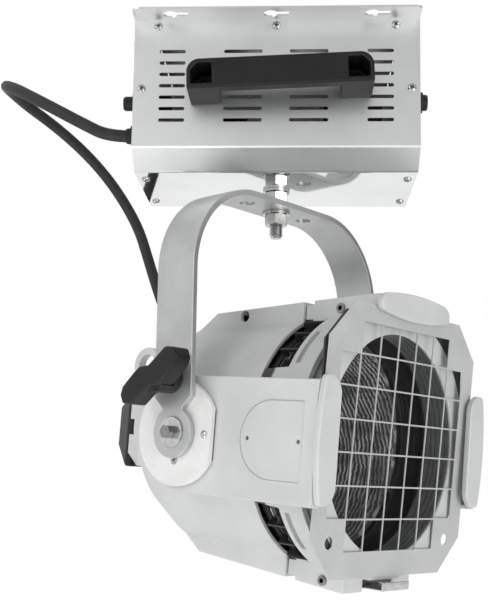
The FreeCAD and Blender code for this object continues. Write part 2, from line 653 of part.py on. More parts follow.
def ballast_housing():
    """Folded sheet: hanging flanges, front and rear panels, sloping folds and bottom."""
    body = new_body("ballast_housing")
    section = new_sketch(body, "Section", "YZ_Plane")
    inner = box_outline(1, "0")
    outer = box_outline(0, "-sheet")
    edge = "(%s + flange_reach)" % HALF_DEPTH
    left = [("-" + edge, "0"), ("-" + edge, "-sheet")]
    right = [(edge, "-sheet"), (edge, "0")]
    polygon(section, left + outer + right + inner[::-1])
    folded = pad(body, section, "box_width", both=True)
    half = value("box_width") / 2
    reach = value("box_depth") / 2
    creases = edges_where(folded, lambda middle, way: abs(way.x) > 0.99 and (
        (abs(middle.y) < reach + 0.01 and middle.z > -0.01 and abs(middle.y) > reach - 3)
        or (abs(abs(middle.y) - reach) < 0.01 and middle.z < -10)
        or (middle.z < -value(FLOOR) + 0.01)))
    bent = fillet(body, folded, creases, "bend_radius")
    tips = edges_where(bent, lambda middle, way: abs(way.z) > 0.99
                       and abs(abs(middle.x) - half) < 0.01 and abs(middle.y) > reach + 5)
    fillet(body, bent, tips, "flange_corner")
    rounds = new_sketch(body, "KeyRounds")
    slots = new_sketch(body, "KeySlots")
    for row in ("key_row", "-key_row"):
        start = "key_shift - key_pitch"
        circle(rounds, start, row, "key_head_radius")
        reach_in = "(%s + key_head_radius - 1)" % start
        reach_out = "(%s + key_length)" % start
        rectangle(slots, start, reach_out, "%s - key_slot_radius" % row, "%s + key_slot_radius" % row)
    for sketch in (rounds, slots):
        cut = pocket(body, sketch, "2 * sheet")
        row_of(body, cut, sketch, "H_Axis", "key_pitch", "3")
    vents = new_sketch(body, "Vents", "XZ_Plane")
    for side in ("-", ""):
        for name in ("inner", "outer"):
            centre = "%svent_%s_centre" % (side, name)
            length = "vent_%s_length / 2" % name
            slot(vents, "(%s - %s)" % (centre, length), "(%s + %s)" % (centre, length),
                 "-vent_top", "vent_width / 2")
    slits = pocket(body, vents, "box_depth + 2 * sheet", both=True)
    row_of(body, slits, vents, "V_Axis", "vent_pitch", "vent_rows", back=True)
    holes = new_sketch(body, "ScrewHoles", "XZ_Plane")
    fit = "panel_shank_radius + screw_clearance"
    for side in ("-", "0 * ", ""):
        circle(holes, side + LID_SCREWS, "-lid_screw_drop", fit)
    for side in ("-", ""):
        circle(holes, "%s(%s - end_screw_inset)" % (side, HALF_WIDTH), "-end_screw_drop", fit)
    pocket(body, holes, "box_depth + 2 * sheet", both=True)
    grip = new_sketch(body, "HandleHoles", "XZ_Plane")
    for side in ("-", ""):
        along, up = handle_point("%s(handle_length / 2 - handle_wall - handle_pocket / 2)" % side, "0")
        circle(grip, along, up, "handle_screw_radius + screw_clearance")
    pocket(body, grip, HALF_DEPTH + " + sheet", back=True)
    floor = new_sketch(body, "FloorHoles")
    circle(floor, "0", "0", "bolt_radius + running_gap")
    for side in ("-", ""):
        for row in ("-base_screw_offset", "base_screw_offset"):
            circle(floor, "%s(%s - end_screw_inset)" % (side, HALF_WIDTH), row, fit)
    pocket(body, floor, FLOOR + " + sheet")
    return keep(body)


def handle_point(along, up):
    """A point of the skewed handle on the front panel, as X and Z formulas."""
    across = "handle_shift + (%s) * cos(handle_skew) - (%s) * sin(handle_skew)" % (along, up)
    height = "-handle_drop + (%s) * sin(handle_skew) + (%s) * cos(handle_skew)" % (along, up)
    return across, height


def ballast_end(label, side, holes):
    """End tray: a panel with lips folded inwards; holes is a list of circles and boxes."""
    body = new_body(label)
    inward = side == "-"
    outline = new_sketch(body, "Outline", "YZ_Plane", side + HALF_WIDTH)
    polygon(outline, box_outline(1, "0"))
    pad(body, outline, "tray_lip", back=not inward)
    inside = new_sketch(body, "Inside", "YZ_Plane", "%s(%s - sheet)" % (side, HALF_WIDTH))
    polygon(inside, box_outline(2, "-sheet"))
    pocket(body, inside, "tray_lip", back=inward)
    fittings = new_sketch(body, "Fittings", "YZ_Plane", side + HALF_WIDTH)
    for across, up, size in holes:
        if isinstance(size, tuple):
            rectangle(fittings, "%s - %s" % (across, size[0]), "%s + %s" % (across, size[0]),
                      "%s - %s" % (up, size[1]), "%s + %s" % (up, size[1]))
        else:
            circle(fittings, across, up, size)
    pocket(body, fittings, "2 * sheet", back=inward)
    fit = "panel_shank_radius + screw_clearance"
    place = "%s(%s - end_screw_inset)" % (side, HALF_WIDTH)
    lips = new_sketch(body, "LipHoles", "XZ_Plane")
    circle(lips, place, "-end_screw_drop", fit)
    pocket(body, lips, "box_depth + 2 * sheet", both=True)
    base = new_sketch(body, "BaseHoles", "XY_Plane", "-%s / 2" % FLOOR)
    circle(base, place, "-base_screw_offset", fit)
    circle(base, place, "base_screw_offset", fit)
    pocket(body, base, FLOOR)
    return keep(body)


def ballast_lid():
    """Lid between the flanges, lips folded down inside the panels."""
    body = new_body("ballast_lid")
    section = new_sketch(body, "Section", "YZ_Plane")
    side = "(%s - sheet)" % HALF_DEPTH
    inner = "(%s - 2 * sheet)" % HALF_DEPTH
    polygon(section, [("-" + side, "0"), ("-" + side, "-lid_drop"), ("-" + inner, "-lid_drop"),
                      ("-" + inner, "-sheet"), (inner, "-sheet"), (inner, "-lid_drop"),
                      (side, "-lid_drop"), (side, "0")])
    folded = pad(body, section, "box_width - 2 * (tray_lip + seam_gap)", both=True)
    reach = value(side)
    creases = edges_where(folded, lambda middle, way: abs(way.x) > 0.99
                          and middle.z > -0.01 and abs(abs(middle.y) - reach) < 0.01)
    fillet(body, folded, creases, "bend_radius")
    holes = new_sketch(body, "ScrewHoles", "XZ_Plane")
    for side in ("-", "0 * ", ""):
        circle(holes, side + LID_SCREWS, "-lid_screw_drop",
               "panel_shank_radius + screw_clearance")
    pocket(body, holes, "box_depth", both=True)
    return keep(body)


def panel_fasteners():
    """Screws of the lid and of the end trays."""
    source = screw("panel_screw_pattern", "panel_head_radius", "panel_head_height",
                   "panel_shank_radius", "6 * sheet")
    inset = "(%s - end_screw_inset)" % HALF_WIDTH
    spots = [(side + LID_SCREWS, "-lid_screw_drop") for side in ("-", "0 * ", "")]
    spots += [(side + inset, "-end_screw_drop") for side in ("-", "")]
    sides = []
    for across, drop in spots:
        sides.append(at(across, "-" + HALF_DEPTH, drop) * FRONTWARD)
        sides.append(at(across, HALF_DEPTH, drop) * REARWARD)
    group("panel_screws", source, sides)
    base = [at(side + inset, row + "base_screw_offset", "-" + FLOOR) * DOWNWARD
            for side in ("-", "") for row in ("-", "")]
    group("bottom_screws", source, base)


def carry_handle():
    """Moulded grip on the front panel, open below and above the bar, with screw pockets."""
    body = new_body("carry_handle")
    half = "handle_length / 2"
    front = new_sketch(body, "Front")
    rectangle(front, "-" + half, half, "-handle_height / 2", "handle_height / 2")
    bar = pad(body, front, "handle_reach")
    edge = value(half)
    top = value("handle_height") / 2
    corners = edges_where(bar, lambda middle, way: abs(way.z) > 0.99 and middle.y > top - 0.01)
    rounded = fillet(body, bar, corners, "handle_corner")
    face = value("handle_reach")
    rim = edges_where(rounded, lambda middle, way: abs(middle.z - face) < 0.01)
    fillet(body, rounded, rim, "handle_edge")
    gap = new_sketch(body, "Gap")
    rectangle(gap, "-(%s - handle_foot)" % half, "%s - handle_foot" % half,
              "-handle_height", "handle_height")
    pocket(body, gap, "handle_reach - handle_bar", back=True)
    wells = new_sketch(body, "Wells", "XY_Plane", "handle_reach")
    holes = new_sketch(body, "Holes")
    for side in ("-", ""):
        outer = "(%s - handle_wall)" % half
        inner = "(%s - handle_wall - handle_pocket)" % half
        cut = "(handle_corner / 2)"
        high = "handle_pocket / 2"
        polygon(wells, [(side + inner, "-" + high), (side + outer, "-" + high),
                        (side + outer, "%s - %s" % (high, cut)),
                        ("%s(%s - %s)" % (side, outer, cut), high), (side + inner, high)])
        circle(holes, "%s(%s - handle_wall - handle_pocket / 2)" % (side, half), "0",
               "handle_screw_radius + screw_clearance")
    pocket(body, wells, "handle_pocket_depth")
    pocket(body, holes, "handle_reach", back=True)
    skew = Placement(Vector(), Rotation(Vector(0, 1, 0), -value("handle_skew")))
    place = at("handle_shift", "-" + HALF_DEPTH, "-handle_drop") * skew * FRONTWARD
    keep(body, place)
    floor = "handle_reach - handle_pocket_depth"
    source = screw("handle_screw_pattern", "handle_screw_head", "0.6 * handle_screw_head",
                   "handle_screw_radius", floor + " + sheet + handle_nut + 1")
    inside = nut("handle_nut_pattern", "handle_nut_radius", "handle_nut",
                 "handle_screw_radius + running_gap")
    seats = []
    backs = []
    for side in ("-", ""):
        across = "%s(%s - handle_wall - handle_pocket / 2)" % (side, half)
        seats.append(place * at(across, "0", floor))
        backs.append(place * at(across, "0", "-(sheet + handle_nut)"))
    group("handle_screws", source, seats)
    group("handle_nuts", inside, backs)


def rocker_switch():
    """Rocker switch in the left end: housing with a well, and the rocker on its trunnions."""
    place = at("-" + HALF_WIDTH, "-fitting_row", "-rocker_drop") * LEFTWARD
    body = new_body("rocker_switch")
    bezel = new_sketch(body, "Bezel")
    rectangle(bezel, "-rocker_width / 2", "rocker_width / 2", "-rocker_height / 2", "rocker_height / 2")
    pad(body, bezel, "rocker_bezel")
    inside = new_sketch(body, "Inside")
    wide = "(rocker_width / 2 - rocker_flange)"
    tall = "(rocker_height / 2 - rocker_flange)"
    rectangle(inside, "-" + wide, wide, "-" + tall, tall)
    pad(body, inside, "rocker_body", back=True)
    well = new_sketch(body, "Well", "XY_Plane", "rocker_bezel")
    well_wide = "(rocker_width / 2 - rocker_flange - rocker_wall)"
    well_tall = "(rocker_height / 2 - rocker_wall)"
    rectangle(well, "-" + well_wide, well_wide, "-" + well_tall, well_tall)
    pocket(body, well, "rocker_well")
    bearing = new_sketch(body, "Bearing", "YZ_Plane")
    circle(bearing, "0", "-rocker_pin", "rocker_pin + running_gap")
    pocket(body, bearing, "2 * (%s + rocker_wall / 2)" % well_wide, both=True)
    keep(body, place)
    button = new_body("rocker")
    side = new_sketch(button, "Side", "YZ_Plane")
    reach = "(%s - 3 * rocker_play)" % well_tall
    polygon(side, [("-" + reach, "3.2"), ("0", "2"), (reach, "3.2"), ("0.9 * " + reach, "-2"),
                   ("0", "-3.5"), ("-0.9 * " + reach, "-2")])
    pad(button, side, "2 * (%s - rocker_play)" % well_wide, both=True)
    pins = new_sketch(button, "Pins", "YZ_Plane")
    circle(pins, "0", "0", "rocker_pin")
    pad(button, pins, "2 * (%s + rocker_wall / 2 - face_gap)" % well_wide, both=True)
    lean = Placement(Vector(), Rotation(Vector(1, 0, 0), value("rocker_tilt")))
    keep(button, place * at("0", "0", "-rocker_pin") * lean)


def fuse_fittings():
    """Fuse holder through the left end, the fuse in it and its bayonet cap."""
    place = at("-" + HALF_WIDTH, "-fitting_row", "-fuse_drop") * LEFTWARD
    turned("fuse_holder", [
        ("fuse_bore", "fuse_flange"), ("fuse_flange_radius", "fuse_flange"),
        ("fuse_flange_radius", "0"), ("fuse_body_radius", "0"),
        ("fuse_body_radius", "-fuse_body"), ("0", "-fuse_body"),
        ("0", "-(fuse_body - sheet)"), ("fuse_bore", "-(fuse_body - sheet)")], place)
    stem = "(fuse_bore - running_gap)"
    cap = new_body("fuse_cap")
    spun(cap, [("0", "-fuse_stem"), (stem, "-fuse_stem"), (stem, "face_gap"),
               ("fuse_cap_radius", "face_gap"), ("fuse_cap_radius", "0.8 * fuse_cap"),
               ("0.85 * fuse_cap_radius", "fuse_cap"), ("0", "fuse_cap")])
    slot = new_sketch(cap, "Slot", "XY_Plane", "fuse_cap")
    rectangle(slot, "-0.6 * fuse_cap_radius", "0.6 * fuse_cap_radius",
              "-0.12 * fuse_cap_radius", "0.12 * fuse_cap_radius")
    pocket(cap, slot, "fuse_cap / 5")
    keep(cap, place * at("0", "0", "fuse_flange"))
    low = "-(fuse_body - sheet)"
    turned("fuse_link", [("0", low), ("fuse_link_radius", low),
                         ("fuse_link_radius", low + " + fuse_link"), ("0", low + " + fuse_link")], place)


def cable_gland(label, place, socketed=True):
    """Cable gland: hexagon, seal nut, often with a socket for the cable, thread through the wall."""
    body = new_body(label)
    flats = new_sketch(body, "Hexagon")
    hexagon(flats, "gland_radius")
    pad(body, flats, "gland_flange")
    spun(body, [("0", "0"), ("gland_dome_radius", "0"),
                ("gland_dome_radius", "gland_flange + 0.6 * gland_dome"),
                ("0.92 * gland_dome_radius", "gland_flange + gland_dome"),
                ("0", "gland_flange + gland_dome")])
    spun(body, [("0", "0"), ("gland_thread_radius", "0"), ("gland_thread_radius", "-gland_body"),
                ("0", "-gland_body")])
    if socketed:
        socket = new_sketch(body, "Socket", "XY_Plane", "gland_flange + gland_dome")
        circle(socket, "0", "0", "cable_radius + running_gap")
        pocket(body, socket, "gland_socket")
    return keep(body, place)


def block(label, length, width, height, centre, row, low):
    """A plain box, centred on X and Y, standing at a height."""
    box = doc.addObject("Part::Box", label)
    bind(box, Length=length, Width=width, Height=height)
    bind(box, Placement__Base__x="%s - (%s) / 2" % (centre, length),
         Placement__Base__y="%s - (%s) / 2" % (row, width), Placement__Base__z=low)
    return box


def cut_from(label, solid, tool):
    """One solid less another."""
    result = doc.addObject("Part::Cut", label)
    result.Base = solid
    result.Tool = tool
    return result


def control_gear():
    """Choke, capacitor, ignitor and terminals inside the box."""
    low = "-%s + sheet" % FLOOR
    body = new_body("choke_core")
    frame = new_sketch(body, "Frame", "YZ_Plane", "choke_offset")
    rectangle(frame, "-core_width / 2", "core_width / 2", low, low + " + core_height")
    window_out = "(core_width / 2 - core_leg)"
    window_in = "(core_width / 2 - core_leg - core_window)"
    for side in ("-", ""):
        rectangle(frame, side + window_in, side + window_out, low + " + core_leg",
                  low + " + core_height - core_leg")
    pad(body, frame, "core_length", both=True)
    keep(body)
    coil_low = low + " + core_leg + coil_margin"
    coil_high = "core_height - 2 * (core_leg + coil_margin)"
    outer = block("coil_outside", "core_length + 2 * (coil_margin + coil_wall)",
                  "2 * (%s + coil_margin + coil_wall)" % window_in, coil_high,
                  "choke_offset", "0", coil_low)
    inner = block("coil_inside", "core_length + 2 * coil_margin",
                  "2 * (%s + coil_margin)" % window_in, coil_high, "choke_offset", "0", coil_low)
    keep(cut_from("choke_coil", outer, inner))
    can = doc.addObject("Part::Cylinder", "capacitor")
    bind(can, Radius="capacitor_radius", Height="capacitor_length")
    keep(can, at("-capacitor_offset", "capacitor_length / 2", low + " + capacitor_radius") * FRONTWARD)
    keep(block("ignitor", "ignitor_length", "ignitor_width", "ignitor_height", "-ignitor_offset",
               "%s - sheet - ignitor_width / 2" % HALF_DEPTH, "-ignitor_drop"))
    keep(block("terminal_block", "terminal_length", "terminal_width", "terminal_height", "0",
               "-%s + terminal_row" % HALF_DEPTH, low))


def hanging_hardware():
    """Bolt through the box bottom, its backing plate, washers and nuts down to the yoke."""
    seat = "(-%s + sheet + backing)" % FLOOR
    plate = new_body("backing_plate")
    outline = new_sketch(plate, "Outline", "XY_Plane", "-%s + sheet" % FLOOR)
    half = "backing_size / 2"
    rectangle(outline, "-" + half, half, "-" + half, half)
    circle(outline, "0", "0", "bolt_radius + running_gap")
    pad(plate, outline, "backing")
    keep(plate)
    stud = bolt("hanging_bolt", "nut_radius", "bolt_head", "bolt_radius", "bolt_drop + " + seat)
    keep(stud, at("0", "0", seat))
    bore = "bolt_radius + running_gap"
    rings = washer("washer_pattern", "washer_radius", "washer", bore)
    nuts = nut("nut_pattern", "nut_radius", "nut_height", bore)
    below = "-(%s + washer + nut_height + 2 * washer + yoke_bar + 2 * face_gap)" % FLOOR
    group("bolt_washers", rings, [
        at("0", "0", "-%s - washer" % FLOOR),
        at("0", "0", "-%s - 2 * washer - nut_height" % FLOOR), at("0", "0", below)])
    group("bolt_nuts", nuts, [at("0", "0", "-%s - washer - nut_height" % FLOOR),
                              at("0", "0", below + " - nut_height")])


# ---------------------------------------------------------------- yoke
def yoke():
    """Bent flat bar with an eye at the foot of each arm."""
    body = new_body("yoke")
    top = "-(%s + 2 * washer + nut_height + face_gap)" % FLOOR
    inner = "(yoke_half_width - yoke_bar)"
    foot = "-pivot_drop + shoulder_rise"
    bow = new_sketch(body, "Bow", "XZ_Plane")
    polygon(bow, [("-yoke_half_width", foot), ("-" + inner, foot), ("-" + inner, top + " - yoke_bar"),
                  (inner, top + " - yoke_bar"), (inner, foot), ("yoke_half_width", foot),
                  ("yoke_half_width", top), ("-yoke_half_width", top)])
    bar = pad(body, bow, "yoke_width", both=True)
    crown = value(top)
    outside = edges_where(bar, lambda middle, way: abs(way.y) > 0.99 and middle.z > crown - 0.01)
    first = fillet(body, bar, outside, "yoke_bend")
    under = crown - value("yoke_bar")
    width = value(inner)
    inside = edges_where(first, lambda middle, way: abs(way.y) > 0.99
                         and abs(middle.z - under) < 0.01 and abs(abs(middle.x) - width) < 0.01)
    fillet(body, first, inside, "yoke_bend - yoke_bar")
    for side in ("-", ""):
        neck = new_sketch(body, "Neck", "YZ_Plane", side + inner)
        slope = "(yoke_width - neck_width) / 2"
        polygon(neck, [("-yoke_width / 2", foot), ("-neck_width / 2", "%s - %s" % (foot, slope)),
                       ("-neck_width / 2", "-pivot_drop"), ("neck_width / 2", "-pivot_drop"),
                       ("neck_width / 2", "%s - %s" % (foot, slope)), ("yoke_width / 2", foot)])
        pad(body, neck, "yoke_bar", back=side == "-")
        eye = new_sketch(body, "Eye", "YZ_Plane", side + inner)
        circle(eye, "0", "-pivot_drop", "eye_radius")
        pad(body, eye, "yoke_bar", back=side == "-")
    bores = new_sketch(body, "PivotBores", "YZ_Plane")
    circle(bores, "0", "-pivot_drop", "pivot_radius + running_gap")
    pocket(body, bores, "2 * yoke_half_width + 2", both=True)
    thread = new_sketch(body, "KnobBore", "YZ_Plane", "-yoke_half_width")
    circle(thread, "0", "-pivot_drop + knob_rise", "knob_stud_radius + running_gap")
    pocket(body, thread, "2 * yoke_bar", back=True)
    crown_holes = new_sketch(body, "CrownHoles", "XY_Plane", top)
    circle(crown_holes, "0", "0", "bolt_radius + running_gap")
    circle(crown_holes, "-spare_hole_offset", "0", "spare_hole_radius")
    circle(crown_holes, "spare_hole_offset", "0", "spare_hole_radius")
    pocket(body, crown_holes, "2 * yoke_bar")
    return keep(body, YOKE)


def lock_knob():
    """Wing knob on a stud through the near arm; its tip brakes the friction disc."""
    turn = Placement(Vector(), Rotation(Vector(0, 0, 1), value("knob_turn")))
    place = YOKE * at("-yoke_half_width", "0", "-pivot_drop + knob_rise") * LEFTWARD * turn
    body = new_body("lock_knob")
    spun(body, [("0", "knob_lift"), ("knob_boss_radius", "knob_lift"),
                ("knob_boss_radius", "knob_boss + knob_thick / 2"), ("0", "knob_boss + knob_thick / 2")])
    wing = new_sketch(body, "Wing", "XY_Plane", "knob_boss")
    tip = "(knob_span / 2)"
    half = [("0.1 * " + tip, "knob_waist"), ("0.75 * " + tip, "knob_lobe"), (tip, "0.6 * knob_lobe"),
            (tip, "0"), ("0.85 * " + tip, "-0.4 * knob_lobe"), ("0.42 * " + tip, "-0.85 * knob_hub"),
            ("0.18 * " + tip, "-knob_hub")]
    polygon(wing, half[::-1] + [("-1 * " + across, "-1 * (%s)" % up) for across, up in half[::-1]])
    pad(body, wing, "knob_thick")
    core = new_sketch(body, "StudBore")
    circle(core, "0", "0", "knob_stud_radius")
    pocket(body, core, "knob_boss + knob_thick / 2", back=True)
    keep(body, place)
    turned("lock_stud", [("0", "-yoke_bar"), ("knob_stud_radius", "-yoke_bar"),
                         ("knob_stud_radius", "knob_boss + knob_thick / 2"),
                         ("0", "knob_boss + knob_thick / 2")], place)


# ---------------------------------------------------------------- head
UP = "- axis_rise"
FRAME_SCREW_LEVELS = ("frame_screw_up " + UP, "-frame_screw_down " + UP)


def head_shell():
    """Rear casting: body of revolution with raised ribs and side tongues reaching forward."""
    body = new_body("head_shell")
    spun(body, [("0", "-shell_rear"), ("shell_rear_radius", "-shell_rear"),
                ("shell_waist_radius", "-shell_waist"), ("shell_shoulder_radius", "-shell_shoulder"),
                ("shell_front_radius", "shell_front"), ("0", "shell_front")])
    rise = "(rib_front_height %s)" % UP
    fall = "(rib_rear_height %s)" % UP
    for side in ("-", ""):
        rib = new_sketch(body, "Rib", "YZ_Plane")
        polygon(rib, [(side + "0.7 * " + rise, "shell_front"), (side + rise, "shell_front"),
                      (side + fall, "-rib_rear"),
                      ("%s(%s - rib_slope * 0.8)" % (side, fall), "-rib_rear - rib_slope"),
                      (side + "0.7 * " + rise, "-rib_rear - rib_slope")])
        pad(body, rib, "2 * rib_half_width", both=True)
    tongue = new_sketch(body, "Tongue", "YZ_Plane")
    rectangle(tongue, "-rib_half_width " + UP, "rib_half_width " + UP, "0", "frame_face + slot_depth")
    pad(body, tongue, "2 * pad_face", both=True)
    heel = new_sketch(body, "Heel", "YZ_Plane")
    circle(heel, "-axis_rise", "0", "rib_half_width")
    pad(body, heel, "2 * pad_face", both=True)
    ahead = new_sketch(body, "Ahead", "XZ_Plane")
    rectangle(ahead, "-frame_half - tongue_gap", "frame_half + tongue_gap", "shell_front",
              "frame_face + 2 * slot_depth")
    pocket(body, ahead, "4 * frame_half", both=True)
    spun(body, [("0", "-shell_rear + casting"), ("shell_rear_radius - casting", "-shell_rear + casting"),
                ("shell_waist_radius - casting", "-shell_waist + casting / 3"),
                ("shell_shoulder_radius - casting", "-shell_shoulder"),
                ("shell_front_radius - casting", "shell_front"), ("0", "shell_front")], cut=True)
    for side in ("-", ""):
        hollow = new_sketch(body, "RibHollow", "YZ_Plane")
        polygon(hollow, [(side + "0.6 * " + rise, "shell_front"),
                         ("%s(%s - casting)" % (side, rise), "shell_front"),
                         ("%s(%s - casting)" % (side, fall), "-rib_rear"),
                         (side + "0.6 * " + rise, "-rib_rear")])
        pocket(body, hollow, "2 * (rib_half_width - casting)", both=True)
    inner = "(rib_half_width - casting)"
    channel = new_sketch(body, "TongueHollow", "YZ_Plane")
    rectangle(channel, "-%s %s" % (inner, UP), "%s %s" % (inner, UP), "0",
              "frame_face + slot_depth - casting")
    pocket(body, channel, "2 * (pad_face - pad_wall)", both=True)
    bowl = new_sketch(body, "HeelHollow", "YZ_Plane")
    circle(bowl, "-axis_rise", "0", inner)
    pocket(body, bowl, "2 * (pad_face - pad_wall)", both=True)
    for side in ("-", ""):
        side_pad = new_sketch(body, "SidePad", "YZ_Plane", side + "(pad_face - pad_wall / 2)")
        rectangle(side_pad, "-side_pad_half " + UP, "side_pad_half " + UP,
                  "side_pad_rear + side_pad_half", "side_pad_front")
        pad(body, side_pad, "pad_wall / 2 + side_pad_rise", back=side == "-")
        arc = new_sketch(body, "SidePadArc", "YZ_Plane", side + "(pad_face - pad_wall / 2)")
        circle(arc, "-axis_rise", "side_pad_rear + side_pad_half", "side_pad_half")
        pad(body, arc, "pad_wall / 2 + side_pad_rise", back=side == "-")
    side_holes = new_sketch(body, "SideHoles", "YZ_Plane")
    circle(side_holes, "-axis_rise", "side_pad_rear + side_pad_hole_inset", "side_pad_hole")
    circle(side_holes, "-axis_rise", "side_pad_front - side_pad_hole_front", "side_pad_hole")
    circle(side_holes, "-axis_rise", "0", "pivot_radius + running_gap")
    circle(side_holes, "-axis_rise", "rivet_forward", "rivet_radius / 2 + running_gap")
    circle(side_holes, "-axis_rise + disc_screw_drop", "0", "disc_screw_radius + running_gap")
    circle(side_holes, "-axis_rise - disc_screw_drop", "0", "disc_screw_radius + running_gap")
    pocket(body, side_holes, "2 * pad_face + 4 * side_pad_rise", both=True)
    rib_holes = new_sketch(body, "RibHoles", "YZ_Plane")
    circle(rib_holes, "rib_hole_up " + UP, "-rib_hole_back", "rib_hole_radius")
    pocket(body, rib_holes, "3 * rib_half_width", both=True)
    back = new_sketch(body, "RearOpening", "XY_Plane", "-shell_rear")
    circle(back, "0", "0", "rear_opening")
    pocket(body, back, "2 * casting", back=True)
    boss = new_sketch(body, "PortBoss")
    port = port_place()
    boss.AttachmentOffset = port
    boss.setExpression("AttachmentOffset.Base.z", None)
    circle(boss, "0", "0", "port_boss")
    pad(body, boss, "port_rise + casting", back=True)
    bore = new_sketch(body, "PortBore")
    bore.AttachmentOffset = port
    bore.setExpression("AttachmentOffset.Base.z", None)
    circle(bore, "0", "0", "gland_thread_radius")
    pocket(body, bore, "3 * port_rise + 2 * casting")
    return keep(body, BEAM)


def port_place():
    """Seat of the head's cable gland, square to the sloping rear of the shell."""
    steps = value("shell_rear - shell_waist")
    widening = value("shell_waist_radius - shell_rear_radius")
    along = (value("port_radius") - value("shell_rear_radius")) / widening
    height = -value("shell_rear") + along * steps
    out = Vector(0, steps, -widening).normalize()
    seat = Vector(value("port_side"), value("port_radius"), height) + out * value("port_rise")
    return Placement(seat, Rotation(Vector(0, 0, 1), out))


def front_frame():
    """Front casting: a collar with vents at its rear, side windows, ribs above and below."""
    body = new_body("front_frame")
    rim = "shell_front_radius - seam_step"
    spun(body, [("0", "shell_front"), (rim, "shell_front"), ("frame_collar", "vent_front"),
                ("frame_collar", "frame_face"), ("0", "frame_face")])
    around = new_sketch(body, "Flats", "XY_Plane", "shell_front")
    rectangle(around, "-2 * frame_half", "2 * frame_half", "-2 * frame_half", "2 * frame_half")
    rectangle(around, "-frame_half", "frame_half", "-frame_half", "frame_half")
    pocket(body, around, "2 * frame_face", back=True)
    slope = "(crest - rib_front_height) / (frame_face + slot_depth - shell_front)"
    start = "(rib_front_height %s + (brow_rear - shell_front) * %s)" % (UP, slope)
    brow = new_sketch(body, "Brow", "YZ_Plane")
    polygon(brow, [("0.7 * frame_half", "brow_rear"), (start, "brow_rear"),
                   ("crest " + UP, "frame_face + slot_depth"),
                   ("slot_roof " + UP, "frame_face + slot_depth"), ("slot_roof " + UP, "frame_face"),
                   ("0.7 * frame_half", "frame_face")])
    pad(body, brow, "2 * rib_half_width", both=True)
    jaw = new_sketch(body, "Jaw", "YZ_Plane")
    polygon(jaw, [("-0.7 * frame_half", "brow_rear"), ("-" + start, "brow_rear"),
                  ("-chin " + UP, "chin_front"), ("-0.7 * frame_half", "chin_front")])
    pad(body, jaw, "2 * rib_half_width", both=True)
    for level in ("-", ""):
        web = new_sketch(body, "GrooveWeb", "YZ_Plane")
        low = "%s0.9 * trench_radius" % level
        high = "%s(%s - rib_groove)" % (level, start)
        polygon(web, [(low, "shell_front"), (high, "shell_front"),
                      (high, "brow_rear + casting"), (low, "brow_rear + casting")])
        pad(body, web, "2 * (rib_half_width - rib_groove)", both=True)
    spun(body, [("0", "shell_front"), ("seat_radius", "shell_front"), ("seat_radius", "seat_front"),
                ("sleeve_radius", "seat_front"), ("sleeve_radius", "barrel_rear - 2"),
                ("barrel_radius", "barrel_rear"), ("barrel_radius", "frame_face - frame_wall"),
                ("frame_opening", "frame_face - frame_wall"), ("frame_opening", "frame_face"),
                ("0", "frame_face")], cut=True)
    trench = new_sketch(body, "Trench", "XY_Plane", "shell_front")
    vents = new_sketch(body, "Vents", "XY_Plane", "trench_front")
    fins = new_sketch(body, "FinTops", "XY_Plane", "trench_front")
    groove = new_sketch(body, "ThinGroove", "XY_Plane", "recess_front - recess_width")
    windows = new_sketch(body, "Windows", "XY_Plane", "window_rear")
    step = "((vent_last - vent_first - 2 * vent_fin) / 3)"
    beyond = "1.3 * frame_collar"
    for across in ("-", ""):
        for upward in ("-", ""):
            for index in range(3):
                low = "(vent_first + %d * (%s + vent_fin))" % (index, step)
                sector(vents, across, upward, low, "(%s + %s)" % (low, step), "0.9 * seat_radius", beyond)
            for sketch, first, last, inner in (
                    (trench, "vent_first", "vent_last", "trench_radius"),
                    (fins, "vent_first", "vent_last", "(frame_collar - vent_fin_drop)"),
                    (groove, "recess_first", "recess_last", "(frame_collar - recess_depth)"),
                    (windows, "window_first", "window_last", "0.98 * barrel_radius")):
                sector(sketch, across, upward, first, last, inner, beyond, steps=5)
    pocket(body, trench, "trench_front - shell_front", back=True)
    pocket(body, vents, "vent_front - trench_front", back=True)
    pocket(body, fins, "vent_front - trench_front", back=True)
    pocket(body, groove, "recess_width", back=True)
    pocket(body, windows, "window_front - window_rear", back=True)
    bay = new_sketch(body, "ClipBay", "XY_Plane", "clip_bay_rear")
    rectangle(bay, "-clip_bay", "clip_bay", "-1.3 * frame_half", "-frame_half")
    pocket(body, bay, "slot_depth + frame_face - clip_bay_rear", back=True)
    pin = new_sketch(body, "PinBore", "YZ_Plane")
    circle(pin, "-clip_pin_drop " + UP, "clip_pin_forward", "clip_pin + running_gap")
    pocket(body, pin, "2 * clip_pin_half", both=True)
    for side in ("-", ""):
        screws = new_sketch(body, "ScrewHoles", "YZ_Plane", side + "rib_half_width")
        for level in FRAME_SCREW_LEVELS:
            circle(screws, level, "frame_screw_forward", "frame_screw_shank + screw_clearance")
        pocket(body, screws, "frame_screw_length + 1", back=side == "-")
    return keep(body, BEAM)


def sector(sketch, across, upward, first, last, inner, outer, steps=1):
    """A piece of a ring in one quarter, between two angles; its inside follows the ring in steps."""
    turns = ["(%s + (%s - %s) * %d / %d)" % (first, last, first, index, steps)
             for index in range(steps + 1)]
    around = [(inner, turn) for turn in turns] + [(outer, last), (outer, first)]
    polygon(sketch, [("%s(%s) * cos(%s)" % (across, reach, turn), "%s(%s) * sin(%s)" % (upward, reach, turn))
                     for reach, turn in around])


